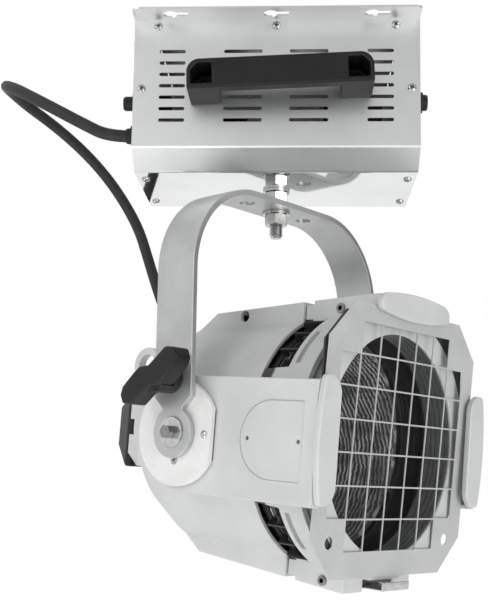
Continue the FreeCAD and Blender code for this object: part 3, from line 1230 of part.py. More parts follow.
def holding_lips():
    """Lips in front of the accessory slot: one at each side and one along the top."""
    front = "frame_face + slot_depth"
    high = "(rib_half_width %s)" % UP
    low = "(-rib_half_width %s)" % UP
    for label, side in (("side_lip_near", "-"), ("side_lip_far", "")):
        body = new_body(label)
        outline = new_sketch(body, "Outline", "XY_Plane", front)
        polygon(outline, [(side + "lip_edge", low), (side + "(pad_face - lip_corner)", low),
                          (side + "pad_face", low + " + lip_corner"),
                          (side + "pad_face", high + " - lip_corner"),
                          (side + "(pad_face - lip_corner)", high), (side + "lip_edge", high)])
        pad(body, outline, "lip")
        keep(body, BEAM)
    body = new_body("top_lip")
    outline = new_sketch(body, "Outline", "XY_Plane", front)
    top = "crest " + UP
    polygon(outline, [("-rib_half_width", "lip_top_ends " + UP), ("0", "lip_top_edge " + UP),
                      ("rib_half_width", "lip_top_ends " + UP),
                      ("rib_half_width", top + " - lip_corner / 2"),
                      ("rib_half_width - lip_corner", top), ("-(rib_half_width - lip_corner)", top),
                      ("-rib_half_width", top + " - lip_corner / 2")])
    pad(body, outline, "lip")
    keep(body, BEAM)


def tilt_pivots():
    """Friction discs, gaskets, rivets, screws and the two tilt bolts."""
    gasket_low = "pad_face"
    disc_low = "pad_face + pad_gasket"
    disc_thick = "(yoke_half_width - yoke_bar - face_gap - pad_face - pad_gasket)"
    outer = "yoke_half_width + face_gap"
    for name, frame in (("near", NEAR), ("far", FAR)):
        for label, low, thick, radius in (
                ("disc_gasket_", gasket_low, "pad_gasket", "disc_radius - 1"),
                ("friction_disc_", disc_low, disc_thick, "disc_radius")):
            body = new_body(label + name)
            outline = new_sketch(body, "Outline", "XY_Plane", low)
            circle(outline, "0", "0", radius)
            circle(outline, "0", "0", "pivot_radius + running_gap")
            circle(outline, "0", "disc_screw_drop", "disc_screw_radius + running_gap")
            circle(outline, "0", "-disc_screw_drop", "disc_screw_radius + running_gap")
            circle(outline, "rivet_forward", "0", "rivet_radius / 2 + running_gap")
            pad(body, outline, thick)
            flat = new_sketch(body, "Flat", "XY_Plane", low)
            rectangle(flat, "disc_flat", "2 * disc_radius", "-disc_radius", "disc_radius")
            pocket(body, flat, "2 * disc_radius", back=True)
            if label == "friction_disc_":
                spun_sink(body, "disc_screw_drop")
                spun_sink(body, "-disc_screw_drop")
            keep(body, frame)
    face = "(pad_face + pad_gasket + %s)" % disc_thick
    length = "(%s - pad_face + pad_wall)" % face
    sunk = new_body("disc_screw_pattern")
    spun(sunk, [("0", "-(%s)" % length), ("disc_screw_radius", "-(%s)" % length),
                ("disc_screw_radius", "-disc_screw_sink"), ("disc_screw_head", "0"), ("0", "0")])
    rivet = new_body("rivet_pattern")
    spun(rivet, [("0", "-(%s)" % length), ("rivet_radius / 2", "-(%s)" % length),
                 ("rivet_radius / 2", "0"), ("rivet_radius", "0"), ("rivet_radius", "rivet_head / 2"),
                 ("rivet_radius / 2", "rivet_head"), ("0", "rivet_head")])
    group("disc_screws", sunk, [frame * at("0", side + "disc_screw_drop", face)
                                for frame in (NEAR, FAR) for side in ("-", "")])
    group("disc_rivets", rivet, [frame * at("rivet_forward", "0", face) for frame in (NEAR, FAR)])
    source = bolt("pivot_bolt_pattern", "pivot_head_radius", "pivot_head", "pivot_radius",
                  "%s + pivot_washer - (pad_face - pad_wall) + pivot_nut + 1" % outer)
    rings = washer("pivot_washer_pattern", "pivot_washer_radius", "pivot_washer",
                   "pivot_radius + running_gap")
    nuts = nut("pivot_nut_pattern", "pivot_nut_radius", "pivot_nut", "pivot_radius + running_gap")
    frames = (NEAR, FAR)
    group("pivot_bolts", source, [frame * at("0", "0", outer + " + pivot_washer") for frame in frames])
    group("pivot_washers", rings, [frame * at("0", "0", outer) for frame in frames])
    group("pivot_nuts", nuts, [frame * at("0", "0", "pad_face - pad_wall - pivot_nut")
                               for frame in frames])


def spun_sink(body, up):
    """Countersink for a disc screw at the outer face of the disc."""
    sink = new_sketch(body, "Sink", "XY_Plane", "yoke_half_width - yoke_bar - face_gap")
    circle(sink, "0", up, "disc_screw_head")
    feature = pocket(body, sink, "disc_screw_sink")
    feature.TaperAngle = 0
    bind(feature, TaperAngle="-atan((disc_screw_head - disc_screw_radius) / disc_screw_sink)")


def optics():
    """Reflector, baffle, lens and its ring, lamp and lamp holder, all about the beam."""
    wall = "reflector_wall"
    front = "seat_front + %s" % wall
    rear = "(seat_front - reflector_depth)"
    throat = "reflector_throat"
    bore = "(sleeve_radius - optic_play)"
    turned("reflector", reflector_section(front, rear, throat, bore), BEAM)
    turned("vent_baffle", [
        ("baffle_radius - baffle_wall", front), ("baffle_radius", front),
        ("baffle_radius", "ring_rear - baffle_wall"),
        ("barrel_radius - optic_play", "ring_rear - baffle_wall"),
        ("barrel_radius - optic_play", "ring_rear"), ("baffle_radius - baffle_wall", "ring_rear")], BEAM)
    turned("lens", [("0", "ring_rear + lens_play"), ("lens_radius", "ring_rear + lens_play"),
                    ("lens_radius", "ring_rear + lens_play + lens"),
                    ("0", "ring_rear + lens_play + lens")], BEAM)
    step = "ring_rear + lens + 2 * lens_play"
    turned("lens_ring", [
        ("lens_radius + lens_play", "ring_rear"), ("barrel_radius - optic_play", "ring_rear"),
        ("barrel_radius - optic_play", "frame_face - frame_wall"),
        ("frame_opening", "frame_face - frame_wall"), ("frame_opening", step),
        ("lens_radius + lens_play", step)], BEAM)
    turned("lamp", [
        ("0", "-lamp_seat"), ("0.8 * lamp_radius", "-lamp_seat"),
        ("lamp_radius", "-lamp_seat + 0.15 * lamp_length"),
        ("lamp_radius", "-lamp_seat + 0.85 * lamp_length"),
        ("0.5 * lamp_radius", "-lamp_seat + 0.97 * lamp_length"),
        ("0", "-lamp_seat + lamp_length")], BEAM)
    turned("lamp_base", [("0", "-lamp_seat - lamp_base"), ("lamp_base_radius", "-lamp_seat - lamp_base"),
                         ("lamp_base_radius", "-lamp_seat"), ("0", "-lamp_seat")], BEAM)
    seat = "-shell_rear + casting"
    turned("lamp_holder", [
        ("0", seat + " - holder_depth"), ("holder_radius", seat + " - holder_depth"),
        ("holder_radius", seat), ("holder_flange", seat), ("holder_flange", seat + " + casting"),
        ("holder_radius", seat + " + casting"), ("holder_radius", "-lamp_seat - lamp_base / 2"),
        ("lamp_base_radius + lens_play", "-lamp_seat - lamp_base / 2"),
        ("lamp_base_radius + lens_play", "-lamp_seat - lamp_base"),
        ("0", "-lamp_seat - lamp_base")], BEAM)


def reflector_section(front, rear, throat, bore):
    """Half section of the reflector: a faceted bowl with a seating flange."""
    wall = "reflector_wall"
    steps = (0, 0.06, 0.2, 0.4, 0.65, 1)
    outside = []
    inside = []
    for share in steps:
        reach = "(%s + (reflector_rim - %s) * sqrt(%s))" % (throat, throat, share)
        depth = "(%s + reflector_depth * %s)" % (rear, share)
        outside.append(("%s + %s" % (reach, wall), depth))
        inside.append((reach, depth))
    inside[-1] = ("reflector_rim", front)
    return outside + [(bore, "seat_front"), (bore, front)] + inside[::-1]


def rear_fittings():
    """Rear housing with the safety eye, rear cap and the cable gland of the head."""
    body = new_body("rear_housing")
    cut = "(rear_half - rear_corner)"
    outline = new_sketch(body, "Outline", "XY_Plane", "-shell_rear")
    polygon(outline, [("rear_half", "-" + cut), ("rear_half", cut), (cut, "rear_half"),
                      ("-" + cut, "rear_half"), ("-rear_half", cut), ("-rear_half", "-" + cut),
                      ("-" + cut, "-rear_half"), (cut, "-rear_half")])
    pad(body, outline, "rear_plate", back=True)
    well = new_sketch(body, "Well", "XY_Plane", "-shell_rear")
    circle(well, "0", "0", "rear_opening")
    pocket(body, well, "rear_plate - rear_floor")
    notch = new_sketch(body, "Notch", "XY_Plane", "-shell_rear - rear_plate")
    for side in ("-", ""):
        rectangle(notch, side + "(rear_half - rear_notch_deep)", side + "(rear_half + 1)",
                  "-rear_notch / 2 - 1", "rear_notch / 2 - 1")
    pocket(body, notch, "0.8 * rear_plate", back=True)
    stem = new_sketch(body, "EyeStem", "YZ_Plane", "-lug_side")
    rectangle(stem, "rear_half - rear_corner", "lug_up " + UP, "-shell_rear - rear_plate",
              "-shell_rear - casting / 2")
    pad(body, stem, "lug_thick", both=True)
    eye = new_sketch(body, "Eye", "YZ_Plane", "-lug_side")
    circle(eye, "lug_up " + UP, "-lug_back", "lug_radius")
    pad(body, eye, "lug_thick", both=True)
    hole = new_sketch(body, "EyeHole", "YZ_Plane", "-lug_side")
    circle(hole, "lug_up " + UP, "-lug_back", "lug_hole_radius")
    pocket(body, hole, "2 * lug_thick", both=True)
    keep(body, BEAM)
    cap = new_body("rear_cap")
    place = BEAM * at("0", "-cap_drop", "-shell_rear - rear_plate")
    neck = new_sketch(cap, "Neck")
    rim = "(cap_half - cap_neck)"
    rectangle(neck, "-" + rim, rim, "-" + rim, rim)
    pad(cap, neck, "cap_neck", back=True)
    profile = new_sketch(cap, "Profile", "YZ_Plane")
    polygon(profile, [("-cap_half", "-cap_neck"), ("cap_half", "-cap_neck"),
                      ("cap_half", "-cap_depth + cap_slope"), ("cap_half - cap_top_slope", "-cap_depth"),
                      ("-cap_half + cap_low_slope", "-cap_depth"), ("-cap_half", "-cap_depth + cap_slope")])
    solid = pad(cap, profile, "2 * cap_half", both=True)
    low = -value("cap_depth")
    reach = value("cap_half")
    rim_edges = edges_where(solid, lambda middle, way: abs(middle.z - low) < 0.01
                            and abs(abs(middle.x) - reach) < 0.01)
    slope = cap.newObject("PartDesign::Chamfer", "Slope")
    slope.Base = (solid, rim_edges)
    bind(slope, Size="cap_side_slope")
    cap.Tip = slope
    hollow = new_sketch(cap, "Hollow")
    inner = "(cap_half - cap_neck - cap_wall)"
    rectangle(hollow, "-" + inner, inner, "-" + inner, inner)
    pocket(cap, hollow, "cap_depth - cap_slope")
    keep(cap, place)
    cable_gland("head_cable_gland", BEAM * port_place(), socketed=False)


def accessories():
    """Guard plate in the slot, the spring clip below it and the clip's pin."""
    guard = new_body("guard_plate")
    cut = "(guard_half - guard_corner)"
    outline = new_sketch(guard, "Outline", "XY_Plane", "-guard_sheet / 2")
    polygon(outline, [("guard_half", "-" + cut), ("guard_half", cut), (cut, "guard_half"),
                      ("-" + cut, "guard_half"), ("-guard_half", cut), ("-guard_half", "-" + cut),
                      ("-" + cut, "-guard_half"), (cut, "-guard_half")])
    pad(guard, outline, "guard_sheet")
    cell = "(guard_cell - guard_wire) / 2"
    middle = new_sketch(guard, "Cells")
    for column in range(-2, 3):
        centre = "%d * guard_cell" % column
        rectangle(middle, "%s - %s" % (centre, cell), "%s + %s" % (centre, cell),
                  "guard_rise - 3 * guard_cell - " + cell, "guard_rise - 3 * guard_cell + " + cell)
    rows = pocket(guard, middle, "2 * guard_sheet", both=True)
    row_of(guard, rows, middle, "V_Axis", "guard_cell", "7")
    outer = new_sketch(guard, "OuterCells")
    for column in (-3, 3):
        centre = "%d * guard_cell" % column
        rectangle(outer, "%s - %s" % (centre, cell), "%s + %s" % (centre, cell),
                  "guard_rise - 2 * guard_cell - " + cell, "guard_rise - 2 * guard_cell + " + cell)
    edge = pocket(guard, outer, "2 * guard_sheet", both=True)
    row_of(guard, edge, outer, "V_Axis", "guard_cell", "5")
    holes = new_sketch(guard, "Holes")
    drop = "axis_rise - guard_up - guard_hole_drop"
    circle(holes, "-guard_hole_side", drop, "guard_hole")
    circle(holes, "guard_hole_side", drop, "guard_hole")
    pocket(guard, holes, "2 * guard_sheet", both=True)
    lean = Placement(Vector(), Rotation(Vector(1, 0, 0), value("guard_lean")))
    keep(guard, BEAM * at("0", "guard_up " + UP, "guard_forward") * lean)
    pin_place = BEAM * at("0", "-clip_pin_drop " + UP, "clip_pin_forward")
    pin = doc.addObject("Part::Cylinder", "clip_pin")
    bind(pin, Radius="clip_pin", Height="2 * clip_pin_half")
    sideways = facing((0, 1, 0), (0, 0, 1), (1, 0, 0))
    keep(pin, pin_place * at("-clip_pin_half", "0", "0") * sideways)
    clip = new_body("retaining_clip")
    loop = new_sketch(clip, "Loop", "YZ_Plane")
    circle(loop, "0", "0", "clip_loop")
    pad(clip, loop, "2 * clip_half", both=True)
    strip = new_sketch(clip, "Strip", "YZ_Plane")
    polygon(strip, [("-clip_loop", "0"), ("-clip_loop", "clip_reach"), ("clip_lip", "clip_reach"),
                    ("clip_lip", "clip_reach - clip_sheet"),
                    ("-clip_loop + clip_sheet", "clip_reach - clip_sheet"),
                    ("-clip_loop + clip_sheet", "0")])
    pad(clip, strip, "2 * clip_half", both=True)
    bore = new_sketch(clip, "Bore", "YZ_Plane")
    circle(bore, "0", "0", "clip_pin + running_gap")
    pocket(clip, bore, "2 * clip_half + 2", both=True)
    keep(clip, pin_place)
    source = screw("frame_screw_pattern", "frame_screw_head", "frame_screw_height",
                   "frame_screw_shank", "frame_screw_length")
    seats = [BEAM * at(side + "rib_half_width", level, "frame_screw_forward") * turn
             for side, turn in (("-", facing((0, 0, 1), (0, 1, 0), (-1, 0, 0))),
                                ("", facing((0, 0, -1), (0, 1, 0), (1, 0, 0))))
             for level in FRAME_SCREW_LEVELS]
    group("frame_screws", source, seats)


# ---------------------------------------------------------------- lamp cable
CABLE = [(-124, -55, -96), (-144, -55, -96), (-167, -54, -84), (-191, -49, -70), (-213, -39, -56),
         (-233, -24, -42), (-248, -4, -31), (-256, 20, -22), (-255, 46, -20), (-246, 71, -24),
         (-230, 92, -32), (-210, 108, -46), (-190, 118, -64), (-171, 122, -86), (-154, 123, -111),
         (-140, 120, -137), (-130, 114, -166), (-120, 106, -195), (-109.5, 98.5, -222.5),
         (-96.15, 89.66, -250.76), (-84.070, 80.154, -272.961)]


def lamp_cable():
    """Rubber cable from the ballast box to the head: straight runs joined by tangent arcs."""
    points = [Vector(*point) for point in CABLE]
    radius = value("cable_radius")
    edges = []
    radii = []
    start = points[0]
    for before, corner, after in zip(points, points[1:], points[2:]):
        arriving = corner - before
        leaving = after - corner
        half_turn = arriving.getAngle(leaving) / 2
        cut = 0.45 * min(arriving.Length, leaving.Length)
        radii.append(cut / math.tan(half_turn))
        first = corner - arriving.normalize() * cut
        last = corner + leaving.normalize() * cut
        inward = (leaving - arriving).normalize()
        bulge = radii[-1] / math.cos(half_turn) - radii[-1]
        edges.append(Part.LineSegment(start, first).toShape())
        edges.append(Part.Arc(first, corner + inward * bulge, last).toShape())
        start = last
    edges.append(Part.LineSegment(start, points[-1]).toShape())
    path = Part.Wire(edges)
    ring = Part.Circle(points[0], points[1] - points[0], radius).toShape()
    node = doc.addObject("Part::Feature", "lamp_cable")
    node.Shape = path.makePipeShell([Part.Wire([ring])], True, False)
    node.Label = "lamp_cable"
    print("cable radii", [round(size, 1) for size in radii])
    print("cable length %.1f, volume ratio %.4f" % (
        path.Length, node.Shape.Volume / (math.pi * radius ** 2 * path.Length)))
    return keep(node)


def write_parts():
    """Check every object and every piece, then write the STEP files."""
    doc.recompute()
    for thing in doc.Objects:
        if "Invalid" in thing.State or "Error" in thing.State:
            raise RuntimeError("%s is %s" % (thing.Label, thing.State))
    for cut in CUTS:
        if cut.BaseFeature.Shape.Volume - cut.Shape.Volume < 0.01:
            raise RuntimeError("%s in %s cuts nothing" % (cut.Label, cut.getParent().Label))
    for piece in PIECES:
        if piece.Shape.isNull() or not piece.Shape.isValid() or not piece.Shape.Solids:
            raise RuntimeError(piece.Label + " has no valid solid")
    os.makedirs("parts", exist_ok=True)
    for piece in PIECES:
        piece.Shape.exportStep("parts/%s.step" % piece.Label)
    print(len(PIECES), "pieces written")


ballast_housing()
ballast_lid()
ballast_end("ballast_end_left", "-", [
    ("-fitting_row", "-rocker_drop", ("(rocker_width / 2 - rocker_flange)",
                                      "(rocker_height / 2 - rocker_flange)")),
    ("-fitting_row", "-fuse_drop", "fuse_body_radius + running_gap"),
    ("-fitting_row", "-gland_drop", "gland_thread_radius + running_gap")])
ballast_end("ballast_end_right", "",
            [("-fitting_row", "-inlet_gland_drop", "gland_thread_radius + running_gap")])
panel_fasteners()
carry_handle()
rocker_switch()
fuse_fittings()
cable_gland("lamp_cable_gland", at("-" + HALF_WIDTH, "-fitting_row", "-gland_drop") * LEFTWARD)
cable_gland("mains_gland", at(HALF_WIDTH, "-fitting_row", "-inlet_gland_drop") * RIGHTWARD)
control_gear()
hanging_hardware()
yoke()
lock_knob()
head_shell()
front_frame()
holding_lips()
tilt_pivots()
optics()
rear_fittings()
accessories()
lamp_cable()
write_parts()
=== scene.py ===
"""Hanging stage lantern with its ballast box: finishes, eased castings, lamp cable and studio.

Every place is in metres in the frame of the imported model. A size whose name ends in mm is in
millimetres. The head is described in its beam frame: x across towards the far yoke arm, y up and
z forward along the beam, from the point where the tilt axis and the beam meet.
"""

import json
import logging
import math
from dataclasses import dataclass, field, replace
from enum import Enum
from typing import Dict, List, Optional, Sequence, Tuple, Union

import bmesh
import bpy
from mathutils import Matrix, Vector

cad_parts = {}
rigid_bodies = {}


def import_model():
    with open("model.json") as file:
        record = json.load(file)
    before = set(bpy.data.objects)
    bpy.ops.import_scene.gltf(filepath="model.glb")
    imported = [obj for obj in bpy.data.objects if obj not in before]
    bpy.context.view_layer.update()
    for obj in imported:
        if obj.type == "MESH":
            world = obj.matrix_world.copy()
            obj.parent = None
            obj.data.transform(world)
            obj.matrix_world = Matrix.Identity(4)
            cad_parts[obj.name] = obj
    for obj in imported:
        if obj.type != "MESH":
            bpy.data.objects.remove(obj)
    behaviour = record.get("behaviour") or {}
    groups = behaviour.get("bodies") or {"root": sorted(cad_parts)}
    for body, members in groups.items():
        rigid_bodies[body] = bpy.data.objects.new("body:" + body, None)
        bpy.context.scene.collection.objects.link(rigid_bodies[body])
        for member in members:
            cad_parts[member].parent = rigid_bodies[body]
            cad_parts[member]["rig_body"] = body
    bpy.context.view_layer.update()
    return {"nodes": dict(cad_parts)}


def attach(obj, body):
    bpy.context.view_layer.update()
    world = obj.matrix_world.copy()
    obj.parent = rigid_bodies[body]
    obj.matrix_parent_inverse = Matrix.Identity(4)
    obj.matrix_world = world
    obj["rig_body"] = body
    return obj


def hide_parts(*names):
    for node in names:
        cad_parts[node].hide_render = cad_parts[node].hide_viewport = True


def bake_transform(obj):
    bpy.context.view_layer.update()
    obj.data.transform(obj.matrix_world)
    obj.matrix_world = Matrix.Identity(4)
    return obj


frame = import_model()

log = logging.getLogger("lantern")
Tree = bpy.types.NodeTree
BMesh = bmesh.types.BMesh
Point = Tuple[float, float, float]
Spot = Tuple[float, float]
Link = Tuple[bpy.types.Node, Union[str, int]]
Socket = Union[float, Sequence[float], Link]

MM = 0.001
PAN = math.radians(51.8)
TILT = math.radians(4.6)
TILT_AXIS = -0.351
BEAM_RISE = 0.003
WORLD = Matrix.Identity(4)
HEAD = (Matrix.Rotation(PAN, 4, "Z") @ Matrix.Translation((0, 0, TILT_AXIS))
        @ Matrix.Rotation(TILT, 4, "X"))
BEAM = HEAD @ Matrix.Translation((0, 0, BEAM_RISE)) @ Matrix.Rotation(math.radians(90), 4, "X")
# The carry handle leans, and its screws are square to it.
HANDLE = Matrix.Rotation(-math.radians(2.4), 4, "Y")

# An edge is shaded sharp where its faces meet at more than SHARP, and is eased past HARD.
SHARP = math.radians(38)
HARD = math.radians(40)
# Faces of a CAD node that meet at less than this are one flat face.
FLAT = math.radians(0.4)
# A face with more corners than this is a broad flat one, which keeps a sharp border.
BROAD = 8
# Points of one shape that are nearer than this are one.
WELD = 1e-6


# ------------------------------------------------------------------ node trees
def linear(hexa: str) -> Tuple[float, float, float, float]:
    """Turns an sRGB hex colour into linear RGBA.

    Args:
        hexa: colour as "#rrggbb".

    Returns:
        Linear red, green, blue and an alpha of 1.
    """
    parts = [int(hexa[i:i + 2], 16) / 255 for i in (1, 3, 5)]
    curve = [c / 12.92 if c <= 0.04045 else ((c + 0.055) / 1.055) ** 2.4 for c in parts]
    return (curve[0], curve[1], curve[2], 1.0)


def add(tree: Tree, kind: str, sockets: Optional[Dict[Union[str, int], Socket]] = None,
        stops: Sequence[Tuple[float, str]] = (), **settings: object) -> bpy.types.Node:
    """Adds a shader node to a tree, sets its properties, and fills or links its inputs.

    Args:
        tree: the tree that gets the node.
        kind: the node's type name, without what all of them start with.
        sockets: inputs by name or number; a (node, output) pair is linked.
        stops: position and hex colour of each stop of a colour ramp, in order.
        settings: properties of the node by name.

    Returns:
        The new node.
    """
    made = tree.nodes.new("ShaderNode" + kind)
    for name, value in settings.items():
        setattr(made, name, value)
    for name, value in (sockets or {}).items():
        if isinstance(value, tuple) and isinstance(value[0], bpy.types.Node):
            tree.links.new(value[0].outputs[value[1]], made.inputs[name])
        else:
            made.inputs[name].default_value = value
    if stops:
        elements = made.color_ramp.elements
        while len(elements) < len(stops):
            elements.new(0.5)
        for element, (place, hexa) in zip(elements, stops):
            element.position = place
            element.color = linear(hexa)
    return made


def blank(owner: Union[bpy.types.Material, bpy.types.World]) -> Tree:
    """Turns on the nodes of a material or a world and clears them.

    Args:
        owner: the material or world.

    Returns:
        Its empty tree.
    """
    owner.use_nodes = True
    owner.node_tree.nodes.clear()
    return owner.node_tree


# ------------------------------------------------------------------ finishes
class Grain(Enum):
    """How a fine pattern is scaled along x, y and z."""

    EVEN = (1.0, 1.0, 1.0)
    ALONG_X = (0.012, 1.0, 1.0)


@dataclass(frozen=True)
class Finish:
    """A solid surface: colour with slow variation, and roughness and relief from one fine pattern.

    Attributes:
        name: material and process.
        dark: hex colour of the darker patches.
        light: hex colour of the lighter patches.
        metallic: 1 for bare metal.
        roughness: roughness at the middle of the pattern.
        rough_swing: how much the pattern moves the roughness.
        patch_mm: size of the slow patches.
        grit_mm: size of the fine pattern.
        relief_mm: height of the fine pattern.
        grain: direction of the fine pattern.
        coat: clear coat weight.
        shine: strength of the plain shine, 0.5 for an index of 1.5.
        polished: height below which the sheet is left as a mirror, in millimetres, and the
            roughness there; None for none.
        trench: colour of painted shade on the casting below a radius about the beam, that
        radius, and the distance along the beam where it stops; None for none.
    """

    name: str
    dark: str
    light: str
    metallic: float = 0.0
    roughness: float = 0.5
    rough_swing: float = 0.08
    patch_mm: float = 40.0
    grit_mm: float = 0.6
    relief_mm: float = 0.02
    grain: Grain = Grain.EVEN
    coat: float = 0.0
    shine: float = 0.5
    polished: Optional[Tuple[float, float]] = None
    trench: Optional[Tuple[str, float, float]] = None

    def painted_trench_shade(self, tree: Tree, where: bpy.types.Node, colour: Link) -> Link:
        """Paints shade into the casting inside the trench.

        Args:
            tree: the material's tree.
            where: its texture coordinates.
            colour: colour of the outside.

        Returns:
            The colour with painted shade in the trench.
        """
        dark, radius_mm, stop_mm = self.trench
        fade_mm = 0.4
        beam = add(tree, "Mapping", {
            "Vector": (where, "Object"), "Location": tuple(BEAM.translation),
            "Rotation": tuple(BEAM.to_euler())}, vector_type="TEXTURE")
        parts = add(tree, "SeparateXYZ", {0: (beam, "Vector")})
        flat = add(tree, "CombineXYZ", {0: (parts, "X"), 1: (parts, "Y")})
        reach = add(tree, "VectorMath", {0: (flat, "Vector")}, operation="LENGTH")
        # Painted shade: full inside the radius and behind the stop, fading at both edges.
        inside, behind = (
            add(tree, "MapRange", {
                "Value": value, "From Min": edge_mm * MM, "From Max": (edge_mm - fade_mm) * MM})
            for value, edge_mm in (((reach, "Value"), radius_mm), ((parts, "Z"), stop_mm)))
        both = add(tree, "Math", {0: (inside, "Result"), 1: (behind, "Result")}, operation="MULTIPLY")
        return (add(tree, "Mix", {
            "Factor": (both, "Value"), 6: colour, 7: linear(dark)}, data_type="RGBA"), 2)

    def mirrored(self, tree: Tree, where: bpy.types.Node, rough: Link) -> Link:
        """Smooths the sheet below a height.

        Args:
            tree: the material's tree.
            where: its texture coordinates.
            rough: roughness of the rest.

        Returns:
            The roughness with the mirror.
        """
        level_mm, mirror = self.polished
        fade_mm = 0.3
        parts = add(tree, "SeparateXYZ", {0: (where, "Object")})
        under = add(tree, "MapRange", {
            "Value": (parts, "Z"), "From Min": (level_mm + fade_mm) * MM, "From Max": level_mm * MM})
        return (add(tree, "Mix", {
            "Factor": (under, "Result"), 2: rough, 3: mirror}, data_type="FLOAT"), 0)

    def surface(self, tree: Tree) -> Link:
        """Builds the shader.

        Args:
            tree: the material's tree, empty.

        Returns:
            Its output.
        """
        where = add(tree, "TexCoord")
        patches = add(tree, "TexNoise", {
            "Vector": (where, "Object"), "Scale": 1 / (self.patch_mm * MM), "Detail": 3.0,
            "Roughness": 0.55})
        spread = add(tree, "MapRange", {"Value": (patches, "Fac"), "From Min": 0.32, "From Max": 0.68})
        tone: Link = (add(tree, "ValToRGB", {0: (spread, "Result")},
                          stops=[(0.0, self.dark), (1.0, self.light)]), "Color")
        # Painted shade inside the vent trench, where one is given.
        if self.trench:
            tone = self.painted_trench_shade(tree, where, tone)
        laid = add(tree, "Mapping", {"Vector": (where, "Object"), "Scale": self.grain.value})
        grit = add(tree, "TexNoise", {
            "Vector": (laid, "Vector"), "Scale": 1 / (self.grit_mm * MM), "Detail": 2.0})
        rough: Link = (add(tree, "MapRange", {
            "Value": (grit, "Fac"), "From Min": 0.3, "From Max": 0.7,
            "To Min": self.roughness - self.rough_swing,
            "To Max": self.roughness + self.rough_swing}), "Result")
        if self.polished:
            rough = self.mirrored(tree, where, rough)
        bump = add(tree, "Bump", {
            "Height": (grit, "Fac"), "Distance": self.relief_mm * MM, "Strength": 1.0})
        return (add(tree, "BsdfPrincipled", {
            "Base Color": tone, "Metallic": self.metallic, "Roughness": rough,
            "Normal": (bump, "Normal"), "Coat Weight": self.coat,
            "Specular IOR Level": self.shine}), "BSDF")


@dataclass(frozen=True)
class Fluted:
    """Spun aluminium, anodised and peened: painted shade in the hollows and painted highlights on the
    wavering ripples.

    Attributes:
        name: material and process.
        hollow_shade: colour of the hollows, painted shade.
        middle: colour of their sides, between painted shade and painted highlight.
        crest_highlight: colour of the ripples' crests, a painted highlight.
        ripples: ripples from the throat to the rim.
        lean: how many ripples each one moves inward in a turn.
        waver: how many ripples one wavers by.
        wavers: wavers around and from throat to rim.
        clouds: patches where the painted streaks dim, around and from throat to rim.
        relief_mm: height of a ripple.
        metallic: share of bare metal under the anodised film.
        roughness: roughness of the ripples.
    """

    name: str = "aluminium_reflector_peened_painted_streaks"
    hollow_shade: str = "#7e807f"
    middle: str = "#b4b6b5"
    crest_highlight: str = "#ffffff"
    ripples: float = 34.0
    lean: float = 22.0
    waver: float = 1.7
    wavers: Point = (34.0, 9.0, 1.0)
    clouds: Point = (22.0, 5.0, 1.0)
    relief_mm: float = 0.3
    metallic: float = 0.35
    roughness: float = 0.24

    def surface(self, tree: Tree) -> Link:
        """Builds the shader.

        Args:
            tree: the material's tree, empty.

        Returns:
            Its output.
        """
        chart = add(tree, "UVMap", uv_map="flutes")
        parts = add(tree, "SeparateXYZ", {0: (chart, "UV")})
        waver, clouds = (
            add(tree, "TexNoise", {
                "Vector": (add(tree, "Mapping", {"Vector": (chart, "UV"), "Scale": scale}), "Vector"),
                "Scale": 1.0, "Detail": detail})
            for scale, detail in ((self.wavers, 2.0), (self.clouds, 1.0)))
        spiral = add(tree, "Math", {0: (parts, "X"), 1: self.lean}, operation="MULTIPLY")
        depth = add(tree, "Math", {
            0: (parts, "Y"), 1: self.ripples, 2: (spiral, "Value")}, operation="MULTIPLY_ADD")
        shifted = add(tree, "Math", {
            0: (waver, "Fac"), 1: self.waver, 2: (depth, "Value")}, operation="MULTIPLY_ADD")
        turn = add(tree, "Math", {0: (shifted, "Value"), 1: math.tau}, operation="MULTIPLY")
        wave = add(tree, "Math", {0: (turn, "Value")}, operation="SINE")
        patchy = add(tree, "MapRange", {
            "Value": (clouds, "Fac"), "From Min": 0.35, "From Max": 0.65, "To Min": -0.75,
            "To Max": 0.25})
        both = add(tree, "Math", {0: (wave, "Value"), 1: (patchy, "Result")}, operation="ADD")
        level = add(tree, "MapRange", {"Value": (both, "Value"), "From Min": -1.2, "From Max": 1.2})
        # Painted highlights on the crests and painted shade in the hollows, dimmed in patches.
        colour = add(tree, "ValToRGB", {0: (level, "Result")}, stops=[
            (0.35, self.hollow_shade), (0.7, self.middle), (0.82, self.crest_highlight)])
        bump = add(tree, "Bump", {
            "Height": (wave, "Value"), "Distance": self.relief_mm * MM, "Strength": 1.0})
        return (add(tree, "BsdfPrincipled", {
            "Base Color": (colour, "Color"), "Metallic": self.metallic,
            "Roughness": self.roughness, "Normal": (bump, "Normal")}), "BSDF")


@dataclass(frozen=True)
class Glass:
    """Clear glass that lets the lamps through.

    Attributes:
        name: material and process.
        tint: hex colour of what passes through.
        haze: roughness of its shine.
        shine: share of its shine seen square on and seen along the surface.
    """

    name: str
    tint: str
    haze: float = 0.02
    shine: Tuple[float, float] = (0.02, 0.16)

    def surface(self, tree: Tree) -> Link:
        """Builds the shader.

        Args:
            tree: the material's tree, empty.

        Returns:
            Its output.
        """
        facing = add(tree, "LayerWeight", {"Blend": 0.2})
        share = add(tree, "MapRange", {
            "Value": (facing, "Facing"), "To Min": self.shine[0], "To Max": self.shine[1]})
        clear = add(tree, "BsdfTransparent", {"Color": linear(self.tint)})
        gloss = add(tree, "BsdfGlossy", {"Color": linear("#ffffff"), "Roughness": self.haze})
        return (add(tree, "MixShader", {
            0: (share, "Result"), 1: (clear, "BSDF"), 2: (gloss, "BSDF")}), "Shader")


